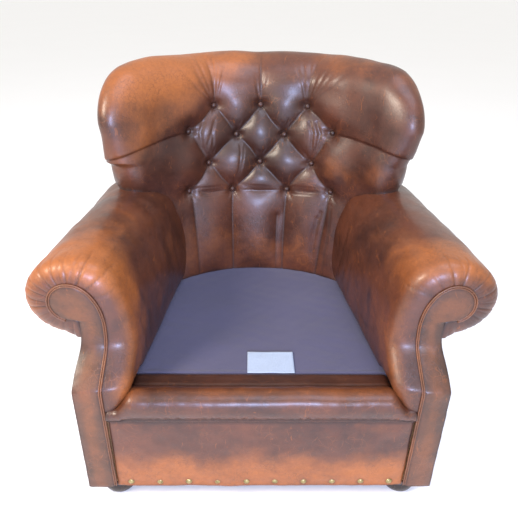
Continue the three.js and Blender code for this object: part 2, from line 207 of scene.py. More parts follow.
def smooth_line(points, step, closed=False):
    """A smooth line through the points, with stops about a step apart."""
    points = np.array(points, float)
    count = len(points)
    spans = count if closed else count - 1
    dense = []
    for i in range(spans):
        if closed:
            a, b, c, d = (points[(i + k) % count] for k in (-1, 0, 1, 2))
        else:
            b, c = points[i], points[i + 1]
            a = points[i - 1] if i else 2 * b - c
            d = points[i + 2] if i + 2 < count else 2 * c - b
        t = np.linspace(0, 1, 24, endpoint=False)[:, None]
        dense.append(0.5 * (2 * b + (c - a) * t + (2 * a - 5 * b + 4 * c - d) * t ** 2
                            + (3 * b - a - 3 * c + d) * t ** 3))
    dense.append(points[:1] if closed else points[-1:])
    dense = np.concatenate(dense)
    run = np.concatenate([[0], np.cumsum(np.linalg.norm(np.diff(dense, axis=0), axis=1))])
    stops = np.linspace(0, run[-1], max(2, round(run[-1] / step)) + 1)
    return np.stack([np.interp(stops, run, dense[:, k]) for k in range(points.shape[1])], axis=1)


def reach_to_line(a, b, points):
    """(distance, share along) from every place (a, b) to a line of straight pieces."""
    best = np.full(a.shape, 1e9)
    along = np.zeros(a.shape)
    points = np.array(points, float)
    lengths = np.linalg.norm(np.diff(points, axis=0), axis=1)
    starts = np.concatenate([[0], np.cumsum(lengths)])
    for i, run in enumerate(lengths):
        (pa, pb), (qa, qb) = points[i], points[i + 1]
        share = np.clip(((a - pa) * (qa - pa) + (b - pb) * (qb - pb)) / run ** 2, 0, 1)
        gap = np.hypot(a - pa - share * (qa - pa), b - pb - share * (qb - pb))
        near = gap < best
        best = np.where(near, gap, best)
        along = np.where(near, (starts[i] + share * run) / starts[-1], along)
    return best, along


def bell(gap, width):
    """1 where there is no gap, falling away over a width."""
    return np.exp(-(gap / width) ** 2)


def crease(a, b, points, sink, width, fade_in, fade_out):
    """A groove along a line: its depth at every place, and how strongly it marks the leather."""
    gap, along = reach_to_line(a, b, points)
    mark = bell(gap, width)
    mark = mark * smoothstep(along, 0, fade_in) * (1 - smoothstep(along, 1 - fade_out, 1))
    return sink * mark, mark


def outward(places):
    """Unit normals of a net of places, on the side that its columns and rows turn to."""
    down, across = np.gradient(places, axis=0), np.gradient(places, axis=1)
    normal = np.cross(across, down)
    size = np.linalg.norm(normal, axis=-1, keepdims=True)
    return normal / np.maximum(size, 1e-9)


def to_frame(places):
    """Places in x, depth and height, in millimetres, to the frame's metres."""
    return (places + np.array([0, FRONT_Y, 0])) * MM


def net_mesh(places, marks=None, mirror=False, seam=False, drop=None):
    """A mesh from a net of places: rows by columns by 3. marks are named values per place."""
    rows, columns = places.shape[:2]
    bm = bmesh.new()
    bmesh.ops.create_grid(bm, x_segments=columns - 1, y_segments=rows - 1, size=1.0)
    column = [round((v.co.x + 1) / 2 * (columns - 1)) for v in bm.verts]
    row = [round((v.co.y + 1) / 2 * (rows - 1)) for v in bm.verts]
    flat = to_frame(places)[row, column]
    if mirror:
        flat = flat * np.array([-1, 1, 1])
    for vert, place in zip(bm.verts, flat):
        vert.co = place
    for mark, values in (marks or {}).items():
        layer = bm.verts.layers.float.new(mark)
        for vert, value in zip(bm.verts, values[row, column]):
            vert[layer] = value
    if drop is not None:
        gone = drop[row, column]
        dropped = [f for f in bm.faces if all(gone[v.index] for v in f.verts)]
        bmesh.ops.delete(bm, geom=dropped, context="FACES")
    if mirror:
        bmesh.ops.reverse_faces(bm, faces=bm.faces[:])
    if seam:
        bmesh.ops.remove_doubles(bm, verts=bm.verts[:], dist=SAME_PLACE)
    return bm


def marked(bm, mark, value):
    """Gives every vertex the same mark."""
    layer = bm.verts.layers.float.new(mark)
    for vert in bm.verts:
        vert[layer] = value


def finish_mesh(name, bm, finish):
    """Makes an object of a bmesh and gives it its material."""
    mesh = bpy.data.meshes.new(name)
    bm.to_mesh(mesh)
    bm.free()
    mesh.shade_smooth()
    piece = bpy.data.objects.new(name, mesh)
    bpy.context.scene.collection.objects.link(piece)
    mesh.materials.append(finish)
    return piece


def applied(piece):
    """Replaces a piece's mesh with what its modifiers make of it."""
    view = bpy.context.evaluated_depsgraph_get()
    made = bpy.data.meshes.new_from_object(piece.evaluated_get(view))
    piece.modifiers.clear()
    old, piece.data = piece.data, made
    made.name = piece.name
    bpy.data.meshes.remove(old)
    return piece


def thickened(piece, millimetres):
    """Gives an open skin its thickness, inwards, and closes its edges."""
    wall = piece.modifiers.new("wall", "SOLIDIFY")
    wall.thickness = millimetres * MM
    wall.offset = -1.0
    wall.use_even_offset = False
    return applied(piece)


def settle(piece, slot, *nodes):
    """Puts a finished piece on the frame."""
    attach(piece, "root")
    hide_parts(*nodes)


# ---- the forms that the pieces follow ----


def facing_depth(z):
    """Depth of the facing's front at a height: upright, a crease, sloping back, upright again."""
    def ramped(value, bend):
        return 0.5 * (value + np.sqrt(value * value + bend ** 2))
    return ramped(z - KINK_Z, SHARP_BEND) - ramped(z - KINK_Z - STEP_BACK, SOFT_BEND)


def splayed(x, depth):
    """x of a place on an arm once the arm closes in to the back, a little less outside its roll."""
    outside = np.clip((x - FACING_OUTER) / ROLL_WIDE, 0, 1)
    return x - (ARM_SPLAY - ROLL_SPREAD * outside) * depth


def back_front(z):
    return BACK_DEPTH + RAKE * (z - DECK_TOP)


def back_thickness(s):
    return 155 - 45 * np.minimum(np.abs(s) / WING_X, 1) ** 2


def on_back(s, t, z):
    """s across the back's curved front, t behind it and z up, as a place."""
    x = np.clip(s, -WING_X, WING_X)
    beyond = s - x
    reach = np.abs(x) / WING_X
    slope = np.sign(x) * WING_POWER * (WING_REACH / WING_X) * reach ** (WING_POWER - 1)
    size = np.hypot(1, slope)
    front = back_front(z) - WING_REACH * reach ** WING_POWER
    across = x + (beyond + t * slope) / size
    return np.stack([across, front + (t - beyond * slope) / size, z], axis=-1)


def wing_extra(s, z):
    """How far a wing's round edge reaches beyond its flat part: it has a lobe above its fold."""
    left = np.interp(z, [642, 715, 727, 800, 844, 885], [63, 77, 94, 107, 116, 121])
    right = np.interp(z, [642, 718, 763, 820, 870], [60, 68, 90, 111, 117])
    return np.where(s > 0, right, left)


def arm_gap(places):
    """Distance outside an arm's surface, below zero inside it."""
    x = np.abs(places[..., 0]) + ARM_SPLAY * places[..., 1]
    z = places[..., 2]
    round_gap = ROLL_RADIUS * (np.hypot((x - ROLL[0]) / ROLL_WIDE, (z - ROLL[1]) / ROLL_RADIUS) - 1)
    face_gap = ARM_FACE_X + 18 * smoothstep(z, ROLL[1] - 75, ROLL[1]) - x
    gap = np.where(z > ROLL[1], round_gap, face_gap)
    return np.where((x > ROLL[0]) & (z < ROLL[1] + 60), -50.0, gap)


def back_form(s, z):
    """Unrolls the back: s and z run over its front, then round its wings and crest to its rear."""
    s_over = np.maximum(np.abs(s) - (WING_FLAT - CORNER_ROUND), 0) * np.sign(s)
    z_over = np.maximum(z - (CREST_FOOT - CORNER_ROUND), 0)
    far = np.maximum(np.hypot(s_over, z_over), 1e-6)
    away = np.maximum(far - CORNER_ROUND, 0)
    s_way, z_way = s_over / far, z_over / far
    s_flat, z_flat = s - s_way * away, z - z_way * away
    half_thick = back_thickness(s_flat) / 2
    reach = wing_extra(s, z_flat)
    radius = s_way ** 2 * (reach + half_thick) / 2 + z_way ** 2 * (CREST_RISE + half_thick) / 2
    turn = np.minimum(away / np.maximum(radius, 1), math.pi)
    past = np.maximum(away - math.pi * radius, 0)
    side = reach * np.sin(turn) - past
    up = CREST_RISE * np.sin(turn) - past
    behind = half_thick * (1 - np.cos(turn))
    return on_back(s_flat + s_way * side, behind, z_flat + z_way * up), past, z_way


def arm_profile():
    """The arm's closed section in x and height, at its full size and where it meets the facing."""
    face = smooth_line([
        (394, 318), (362, 316), (334, 317), (316, 324), (308, 340), (304.5, 372), (303.5, 415),
        (307, 462), (314, 508), (328, 556), (344, 594), (368, 620), (382.5, 628.5), (397.2, 634.9),
    ], 4.5)
    degrees = np.arange(111, -88, -1.5)
    turns = np.radians(degrees)
    roll = ROLL + np.stack([ROLL_WIDE * np.cos(turns), ROLL_RADIUS * np.sin(turns)], axis=1)
    under = np.array([
        (428, 452), (424, 462), (424, 500), (424, 542), (409, 542), (394, 542),
        (394, 460), (394, 380), (394, 318),
    ])
    outer = np.concatenate([face, roll, under])
    inner = outer.copy()
    for i, (x, z) in enumerate(face):
        if z < HEAD_LOW:
            inner[i] = (max(x, facing_edges(z)[0] + 3), z)
    soft_count = len(face) + len(roll)
    wide, tall = HEAD_WIDE - 4, HEAD_TALL - 4
    for i in range(soft_count):
        x, z = outer[i] - (ROLL[0], HEAD_LOW)
        if z >= 0 and (x <= 0 or outer[i][1] > ROLL[1]):
            turn = math.atan2(z / tall, x / wide)
            inner[i] = (ROLL[0] + wide * math.cos(turn), HEAD_LOW + tall * math.sin(turn))
        if x > 0:
            turn = math.atan2(outer[i][1] - ROLL[1], x)
            inner[i] = ROLL + (HEAD_RADIUS - 3) * np.array([math.cos(turn), math.sin(turn)])
    # Below the scroll the hide turns in along the facing's outer edge.
    for i, angle in enumerate(degrees, len(face)):
        down = (-58 - angle) / 30
        if down > 0:
            inner[i] = (np.interp(down, [0, 0.45, 1], [456, 424, 419]),
                        np.interp(down, [0, 0.45, 1], [509.5, 499, 453]))
    return outer, inner, soft_count


def facing_edges(z):
    """Inner and outer x of the facing at a height."""
    rise = np.clip((z - UNDERSIDE) / (KINK_Z - UNDERSIDE), 0, 1)
    inner = FACING_FOOT + (FACING_INNER - FACING_FOOT) * rise
    up = np.clip((z - HEAD_LOW) / HEAD_TALL, 0, 1)
    inner = np.where(z > HEAD_LOW, ROLL[0] - HEAD_WIDE * np.sqrt(1 - up * up), inner)
    neck = ROLL[1] - HEAD_RADIUS
    outer = FACING_OUTER + (FACING_NECK - FACING_OUTER) * smoothstep(z, KINK_Z + 20, neck - 30)
    off = np.clip((z - ROLL[1]) / HEAD_RADIUS, -1, 1)
    head = ROLL[0] + HEAD_RADIUS * np.sqrt(1 - off * off)
    outer = np.where(z > neck, np.maximum(outer, head), outer)
    return inner, outer


# ---- materials ----


class Shade:
    """A new material, with short ways to add nodes to it."""

    def __init__(self, name):
        self.material = bpy.data.materials.new(name)
        self.material.use_nodes = True
        self.material.node_tree.nodes.clear()
        self.place = self.node("TexCoord").outputs["Object"]

    def node(self, kind, inputs=(), **settings):
        """Adds a node, sets its properties, and sets or links its inputs by name or number."""
        tree = self.material.node_tree
        node = tree.nodes.new("ShaderNode" + kind)
        for key, value in settings.items():
            setattr(node, key, value)
        for key, value in dict(inputs).items():
            socket = node.inputs[key]
            if isinstance(value, bpy.types.NodeSocket):
                tree.links.new(value, socket)
            elif socket.type == "RGBA":
                socket.default_value = (*value, 1.0)
            else:
                socket.default_value = value
        return node

    def times(self, a, b, clamp=False):
        inputs = {0: a, 1: b}
        return self.node("Math", inputs, operation="MULTIPLY", use_clamp=clamp).outputs[0]

    def plus(self, a, b, clamp=False):
        inputs = {0: a, 1: b}
        return self.node("Math", inputs, operation="ADD", use_clamp=clamp).outputs[0]

    def mix(self, share, a, b):
        return self.node("Mix", {0: share, 6: a, 7: b}, data_type="RGBA").outputs[2]

    def ramp(self, value, *stops):
        """Eases between (place, grey) stops."""
        node = self.node("ValToRGB", {"Fac": value})
        node.color_ramp.interpolation = "EASE"
        for part, (place, grey) in zip(node.color_ramp.elements, stops):
            part.position = place
            part.color = (grey, grey, grey, 1)
        return node.outputs["Color"]

    def noise(self, where, millimetres, detail=3.0, roughness=0.55, distortion=0.0):
        return self.node("TexNoise", {
            "Vector": where, "Scale": 1 / (millimetres * MM), "Detail": detail,
            "Roughness": roughness, "Distortion": distortion,
        }).outputs["Fac"]

    def cell_edges(self, where, millimetres, randomness=1.0):
        """Distance to the nearest edge of a net of irregular cells."""
        return self.node("TexVoronoi", {
            "Vector": where, "Scale": 1 / (millimetres * MM), "Randomness": randomness,
        }, feature="DISTANCE_TO_EDGE").outputs["Distance"]

    def drawn(self, where, **inputs):
        return self.node("Mapping", {"Vector": where, **inputs}).outputs[0]

    def finish(self, inputs, height=None, strength=0.6):
        """Ends the tree in one shader, with a bump if there is a height in metres."""
        if height is not None:
            bump = self.node("Bump", {"Height": height, "Strength": strength, "Distance": 1.0})
            inputs = {**inputs, "Normal": bump.outputs[0]}
        shader = self.node("BsdfPrincipled", inputs)
        self.node("OutputMaterial", {"Surface": shader.outputs[0]})
        return self.material


def hide_material(name, deep, dark, mid, worn, wear=1.0, roughness=0.40, seed=0.0):
    """Aniline-dyed cowhide, waxed and worn by rubbing: dark where the dressing has pooled, pale
    orange-tan where it has worn off and where sunlight is painted on, with painted shade in its
    folds, seams and hollows, a pebbled grain, a crackle of pale veins and fine dry creases."""
    shade = Shade(name)
    times, plus, mix, ramp, noise = shade.times, shade.plus, shade.mix, shade.ramp, shade.noise
    place = shade.drawn(shade.place, Location=(seed, seed * 0.7, seed * 1.3))
    fold, crest = (shade.node("Attribute", attribute_name=key).outputs["Fac"]
                   for key in ("fold", "crest"))
    drift = shade.node("TexNoise", {"Vector": place, "Scale": 1 / (45 * MM), "Detail": 3.0})
    drift = shade.node("VectorMath", {0: drift.outputs["Color"], "Scale": 0.030}, operation="SCALE")
    bent = shade.node("VectorMath", {0: place, 1: drift.outputs[0]}, operation="ADD").outputs[0]

    cloudy = ramp(noise(place, 190, 5, 0.6, 0.5), (0.36, 0.0), (0.66, 1.0))
    patchy = ramp(noise(bent, 52, 6, 0.68, 0.3), (0.35, 0.0), (0.68, 1.0))
    speckle = ramp(noise(place, 8, 4, 0.75), (0.32, 0.0), (0.72, 1.0))
    tone = mix(cloudy, dark, mid)
    tone = mix(times(patchy, 0.4), tone, mid)
    # Paleness from the crest mark: wear from rubbing, and painted sunlight on the back's upper left
    # and on the left arm.
    rubbed_and_sunlit = plus(times(noise(place, 105, 6, 0.62, 0.15), 0.75), times(crest, 0.62))
    rubbed_and_sunlit = ramp(rubbed_and_sunlit, (0.40, 0.0), (0.98, 1.0))
    tone = mix(times(rubbed_and_sunlit, wear), tone, worn)
    tone = mix(times(speckle, 0.24), tone, dark)
    dressed = times(crest, -0.9, clamp=True)
    tone = mix(dressed, tone, tuple(0.72 * c for c in dark))

    def network(millimetres, width, cover, low, high):
        line = ramp(shade.cell_edges(bent, millimetres), (0.0, 1.0), (width, 0.0))
        return times(line, ramp(noise(place, cover, 3, 0.6), (low, 0.0), (high, 1.0)))

    veins = network(24, 0.04, 80, 0.46, 0.66)
    dry = network(12, 0.07, 60, 0.44, 0.62)
    drawn = shade.drawn(bent, Rotation=(0.9, 0.2, 1.1), Scale=(1.0, 0.14, 0.2))
    scuff = ramp(noise(drawn, 7, 2, 0.5, 1.6), (0.67, 0.0), (0.72, 1.0))
    tone = mix(times(veins, 0.22), tone, worn)
    tone = mix(times(dry, 0.28), tone, deep)
    tone = mix(times(scuff, 0.28), tone, worn)
    # Painted shade: the fold mark darkens the hide in its folds, seams and hollows and where it
    # meets other parts.
    tone = mix(times(fold, 0.8), tone, deep)

    grain = ramp(shade.cell_edges(place, 3.4, 0.9), (0.0, 0.0), (0.22, 1.0))
    height = plus(times(grain, 0.00014), times(dry, -0.00030))
    height = plus(height, times(veins, -0.00030))
    height = plus(height, times(noise(bent, 30, 5, 0.62), 0.0010))
    rough = plus(times(patchy, 0.12), roughness - 0.06)
    rough = plus(rough, times(rubbed_and_sunlit, 0.08))
    rough = plus(rough, times(fold, 0.2), clamp=True)
    return shade.finish({
        "Base Color": tone, "Roughness": rough, "IOR": 1.47,
        "Coat Weight": 0.20, "Coat Roughness": 0.22,
    }, height, strength=0.55)


def cloth_material(name, main, thread, spacing, roughness=0.92, fuzz=0.25, slub=0.35):
    """Plain-woven cotton: a matt field, its threads just showing, with a faint bloom of fibre."""
    shade = Shade(name)
    times, plus, mix, noise = shade.times, shade.plus, shade.mix, shade.noise
    place = shade.place
    waves = {"Vector": place, "Scale": 2 / (spacing * MM) / 6.2832,
             "Distortion": 1.1, "Detail": 2.0, "Detail Scale": 2.0}
    warp, weft = (shade.node("TexWave", waves, wave_type="BANDS",
                             bands_direction=way).outputs["Fac"]
                  for way in ("X", "Y"))
    weave = times(warp, weft)
    worn = shade.ramp(noise(place, 120, 4, 0.6), (0.3, 0.0), (0.75, 1.0))
    tone = mix(times(worn, slub), main, thread)
    tone = mix(times(weave, 0.28), tone, thread)
    tone = mix(times(noise(place, 5, 3, 0.7), 0.18), tone, (0.05, 0.045, 0.06))
    height = plus(times(weave, 0.0004), times(noise(place, 40, 4, 0.55), 0.0018))
    return shade.finish({
        "Base Color": tone, "Roughness": roughness, "Sheen Weight": fuzz, "Sheen Roughness": 0.5,
    }, height)


def wood_material(name, main, dark, roughness, grain_mm, along):
    """Sawn or turned hardwood: long darker rings along the board, with open pores."""
    shade = Shade(name)
    squeeze = tuple(0.08 if axis == along else 1.0 for axis in range(3))
    drawn = shade.drawn(shade.place, Scale=squeeze)
    rings = shade.ramp(shade.noise(drawn, grain_mm, 5, 0.65, 1.5), (0.35, 0.0), (0.7, 1.0))
    pores = shade.ramp(shade.noise(drawn, grain_mm / 8, 3, 0.6), (0.55, 0.0), (0.8, 1.0))
    tone = shade.mix(rings, main, dark)
    tone = shade.mix(shade.times(pores, 0.5), tone, dark)
    rough = shade.plus(shade.times(rings, 0.1), roughness)
    height = shade.times(pores, -0.0003)
    return shade.finish({"Base Color": tone, "Roughness": rough, "IOR": 1.5}, height)


def brass_material(name, main, tarnish):
    """Pressed brass, dulled: warm metal with brown tarnish and small dents."""
    shade = Shade(name)
    dull = shade.ramp(shade.noise(shade.place, 7, 4, 0.65), (0.35, 0.0), (0.7, 1.0))
    tone = shade.mix(shade.times(dull, 0.7), main, tarnish)
    rough = shade.plus(shade.times(dull, 0.3), 0.28)
    height = shade.times(shade.noise(shade.place, 4, 3, 0.6), 0.0006)
    inputs = {"Base Color": tone, "Roughness": rough, "Metallic": 1.0}
    return shade.finish(inputs, height, strength=0.5)


def finish_for(key):
    """The chair's material of that name, made the first time it is asked for."""
    colours = bpy.context.scene.chair_colours

    def tone(name, lift=1.0):
        return tuple(lift * c for c in getattr(colours, name))

    def hide(dark, mid, **settings):
        tones = [tone(name) for name in ("hide_deep", dark, mid, "hide_worn")]
        return lambda: hide_material(key, *tones, **settings)

    def cloth(name, lift, *settings):
        return lambda: cloth_material(key, tone(name), tone(name, lift), *settings)

    def wood(name, drop, *settings):
        return lambda: wood_material(key, tone(name), tone(name, drop), *settings)

    makers = {
        "waxed_cowhide": hide("hide_dark", "hide_mid"),
        "arm_cowhide": hide("hide_dark", "hide_mid", seed=5.3),
        "lip_cowhide": hide("hide_dark", "hide_mid", roughness=0.36, seed=2.6),
        "rubbed_cowhide": hide("hide_dark", "hide_mid", roughness=0.43, seed=3.7),
        "facing_cowhide": hide("facing_dark", "facing_mid", wear=0.45, roughness=0.44, seed=1.9),
        "cotton_deck_cloth": cloth("deck_cloth", 1.35, 2.4),
        "woven_label": cloth("label_cloth", 0.86, 1.6, 0.7, 0.1),
        "jute_webbing": cloth("webbing", 0.6, 4.0, 0.95, 0.2),
        "black_dust_cloth": cloth("dust_cloth", 2.2, 3.0, 0.97, 0.3),
        "sawn_beech": wood("frame_wood", 0.55, 0.62, 16, 1),
        "stained_beech": wood("foot_stain", 0.4, 0.26, 9, 2),
        "aged_brass": lambda: brass_material(key, tone("brass"), tone("tarnish")),
    }
    return bpy.data.materials.get(key) or makers[key]()


# ---- the tufted back ----

ROW_1 = [(-134, 843), (0, 843), (134, 843)]
ROW_2 = [(-204, 775), (-71, 756), (71, 756), (204, 775)]
ROW_3 = [(-151, 675), (0, 672), (151, 675)]
ROW_4 = [(-207, 597), (-83, 587), (83, 587), (207, 597)]
BUTTONS = ROW_1 + ROW_2 + ROW_3 + ROW_4
WING_FOLDS = [
    [(-204, 775), (-262, 773), (-320, 763), (-380, 747), (-430, 736)],
    [(204, 775), (262, 774), (320, 767), (380, 752), (430, 740)],
]
BACK_FOOT = 316.0
# Where the back is worn paler by rubbing or has kept its dark dressing, and painted sunlight and a
# highlight on the crest's upper left and the left wing: s, height, spread and amount.
BACK_WEAR_AND_SUNLIGHT = [
    # The first four entries paint sunlight on the crest's upper left and a highlight on the left
    # wing.
    (-210, 960, 130, 0.75), (-60, 985, 60, 0.35), (-340, 900, 90, 0.5), (-340, 760, 60, 0.4),
    (0, 760, 150, -1.0), (120, 880, 110, -0.55), (-120, 740, 100, -0.5), (40, 660, 90, -0.5),
    (300, 700, 110, 0.15), (-300, 690, 110, -0.1), (330, 850, 90, -0.2), (170, 970, 60, 0.35),
    (-140, 400, 80, 0.35), (160, 390, 80, 0.3), (0, 380, 80, 0.35), (0, 520, 90, -0.2),
]
UNROLLED_HALF = 592.0
UNROLLED_TOP = 1190.0
QUILT_CELL = 3.0
QUILT_ROUNDS = 900
QUILT_SPAN = 62.0
FINE_STEP, PLAIN_STEP, COARSE_STEP = 3.3, 4.6, 6.4


def diamond_folds():
    """Folds of the tufting, as (points, firmness, share that fades out): between the buttons, and
    on to the crest, the deck and the wings."""
    pairs = [(0, 3), (0, 4), (1, 4), (1, 5), (2, 5), (2, 6), (3, 7), (4, 7), (4, 8), (5, 8),
             (5, 9), (6, 9), (7, 10), (7, 11), (8, 11), (8, 12), (9, 12), (9, 13)]
    random = np.random.default_rng(21)
    folds = []
    for i, j in pairs:
        a, b = np.array(BUTTONS[i], float), np.array(BUTTONS[j], float)
        side = np.array([-(b - a)[1], (b - a)[0]]) / np.linalg.norm(b - a)
        bend = random.uniform(-5, 5)
        folds.append(([a, a + (b - a) * 0.5 + side * bend, b], 1.0, 0.0))
    folds += [
        ([(0, 843), (1, 890), (0, 945), (2, 1020)], 1.0, 0.35),
        ([(-134, 843), (-137, 890), (-146, 950), (-152, 1005)], 0.6, 0.5),
        ([(134, 843), (139, 890), (150, 950), (160, 1010)], 0.65, 0.5),
        ([(-83, 587), (-85, 520), (-84, 420), (-83, 312)], 1.2, 0.0),
        ([(83, 587), (80, 520), (77, 420), (76, 312)], 1.2, 0.0),
        ([(57, 505), (55, 440), (56, 312)], 0.7, 0.0),
        ([(-207, 597), (-200, 540), (-193, 430), (-187, 312)], 0.9, 0.0),
        ([(207, 597), (203, 540), (190, 430), (178, 312)], 1.2, 0.0),
        ([(214, 560), (214, 480), (204, 380), (200, 312)], 0.7, 0.0),
        ([(-207, 597), (-148, 585), (-83, 587)], 0.6, 0.0),
        ([(-83, 587), (0, 582), (83, 587)], 0.5, 0.0),
        ([(83, 587), (146, 588), (207, 597)], 0.5, 0.0),
    ]
    return folds + [(line, 0.5, 0.3) for line in WING_FOLDS]


def lapped(s, z, line):
    """The lap at a wing's fold: the hide above it stands proud of the hide below."""
    line = np.array(line, float)
    order = np.argsort(line[:, 0])
    above = z - np.interp(s, line[order, 0], line[order, 1])
    inner, outer = np.abs(line[:, 0]).min(), np.abs(line[:, 0]).max()
    within = smoothstep(s * np.sign(line[-1, 0]), inner, inner + 40)
    within *= 1 - smoothstep(np.abs(s), outer, outer + 60)
    return 5.5 * smoothstep(above, -2.0, 2.5) * np.exp(-np.maximum(above, 0) / 42) * within


def wrinkle_lines():
    """Finer wrinkles, as (points, depth, width): gathers that fan out from the buttons, and long
    ones inside the side diamonds."""
    random = np.random.default_rng(5)
    lines = []

    def fan(button, angles, reach, sink, bow=0.0):
        for angle in angles:
            turn = math.radians(angle + random.uniform(-3, 3))
            far = reach * random.uniform(0.7, 1.15)
            curve = bow * random.uniform(0.5, 1.3) + random.uniform(-3, 3)
            way = np.array([math.cos(turn), math.sin(turn)])
            side = np.array([-math.sin(turn), math.cos(turn)])
            start = np.array(button) + way * 9
            points = [start, start + way * far * 0.5 + side * curve,
                      start + way * far + side * curve * 0.3]
            lines.append((points, sink * random.uniform(0.7, 1.2), random.uniform(2.2, 3.2)))

    for button in ROW_2 + ROW_3 + ROW_4:
        fan(button, (58, 74, 90, 106, 122), 46, 1.9)
        fan(button, (236, 258, 282, 304), 30, 1.3)
    fan(ROW_1[0], (72, 81, 89, 97, 105, 113, 122, 134), 150, 2.4, 6)
    fan(ROW_1[2], (46, 57, 66, 74, 82, 90, 98, 107), 150, 2.4, -6)
    fan(ROW_1[1], (74, 82, 98, 106), 90, 1.6)
    for button in ROW_1:
        fan(button, (228, 250, 290, 312), 30, 1.5)
    for sign in (-1, 1):
        for k in range(5):
            x = sign * (150 + 9 * k + random.uniform(-2, 2))
            end = sign * (151 + 2.4 * k)
            lean = random.uniform(-9, 9)
            points = [(x - sign * 12 + lean, 806), (x + lean, 770),
                      (x + sign * random.uniform(-8, 9), 730), (end, 694)]
            lines.append((points, random.uniform(1.2, 2.6), random.uniform(2.6, 3.8)))
    for k in range(4):
        z = 603 - 7.5 * k
        lines += [
            ([(-196 + 5 * k, z + 2), (-150, z - 2 - k), (-98, z - 3)], 1.8, 2.6),
            ([(98, z - 4), (150, z - 1), (196 - 5 * k, z + 2)], 1.5, 2.6),
            ([(-66 + 12 * k, 603 - 6 * k), (-14 + 5 * k, 600 - 6 * k), (52 - 9 * k, 596 - 4 * k)],
             1.2, 2.6),
        ]
    return lines + [
        ([(-62, 735), (-60, 700), (-66, 655), (-78, 610)], 2.4, 3.2),
        ([(-50, 720), (-52, 690), (-62, 640), (-77, 606)], 1.8, 3.0),
        ([(190, 540), (178, 470), (170, 400), (168, 330)], 3.0, 5.0),
        ([(180, 520), (168, 450), (160, 380)], 2.0, 5.0),
    ]


def quilted(form):
    """Height of the padding over the back's unrolled front: a skin held down at its buttons and
    folds, which swells between them. It is worked out on a square net, and the returned function
    reads it anywhere."""
    s_line = np.arange(-UNROLLED_HALF, UNROLLED_HALF + QUILT_CELL, QUILT_CELL)
    z_line = np.arange(BACK_FOOT - 6, UNROLLED_TOP, QUILT_CELL)
    s, z = np.meshgrid(s_line, z_line)
    off = np.abs(s)
    sink, button_sink = mm("pleat_sink"), mm("button_sink")
    tufted = (1 - smoothstep(off, 205, 262)) * smoothstep(z, 570, 612)
    tufted = tufted * (1 - smoothstep(z, 846, 884))
    middle = (1 - smoothstep(off, 215, 300)) * (1 - smoothstep(z, 930, 1010))
    lower = (1 - smoothstep(z, 550, 590)) * (1 - smoothstep(off, 195, 235))
    rise = 10 + (mm("panel_rise") - 4) * middle
    rise = rise + (mm("pillow_rise") - rise) * tufted + 26 * lower
    hold = np.zeros_like(s)
    target = np.zeros_like(s)

    def pin(strength, depth):
        nonlocal hold, target
        target = target + strength * depth
        hold = hold + strength

    for points, firm, fade in diamond_folds():
        gap, along = reach_to_line(s, z, points)
        strength = 2.2 * firm * bell(gap, 2.6)
        if fade:
            strength *= 1 - smoothstep(along, 1 - fade, 1)
        ends = np.abs(2 * along - 1) ** 3
        pin(strength, -(sink * firm + (button_sink - sink) * 0.35 * ends))
    for x, height in BUTTONS:
        pin(16 * bell(np.hypot(s - x, z - height), 6.5), -button_sink)
    gap = arm_gap(form(s, z))
    pin(1.6 * bell(np.maximum(gap, 0), 7), -15.0)
    pin(2.0 * bell(z - BACK_FOOT, 6), -12.0)
    rear = smoothstep(off, 430, 500) + smoothstep(z, 1060, 1140)
    pin(0.6 * np.clip(rear, 0, 1), -1.0)

    stiff = (QUILT_CELL / QUILT_SPAN) ** 2
    push, give = stiff * rise + target, 4 + stiff + hold
    height = np.zeros_like(s)
    for _ in range(QUILT_ROUNDS):
        wide = np.pad(height, 1, mode="edge")
        around = wide[:-2, 1:-1] + wide[2:, 1:-1] + wide[1:-1, :-2] + wide[1:-1, 2:]
        height = (around + push) / give

    def read(at_s, at_z):
        column = np.clip((at_s - s_line[0]) / QUILT_CELL, 0, len(s_line) - 1.001)
        line = np.clip((at_z - z_line[0]) / QUILT_CELL, 0, len(z_line) - 1.001)
        c, r = column.astype(int), line.astype(int)
        u, v = column - c, line - r
        return ((1 - u) * (1 - v) * height[r, c] + u * (1 - v) * height[r, c + 1]
                + (1 - u) * v * height[r + 1, c] + u * v * height[r + 1, c + 1])
    return read


def button_bed(read, x, z):
    """Place, and outward direction, of a button on the finished back."""
    step = 1.0
    places = on_back(np.array([x, x + step, x]), np.zeros(3), np.array([z, z, z + step]))
    normal = np.cross(places[1] - places[0], places[2] - places[0])
    normal /= np.linalg.norm(normal)
    return places[0] + normal * read(np.array([x]), np.array([z]))[0], normal


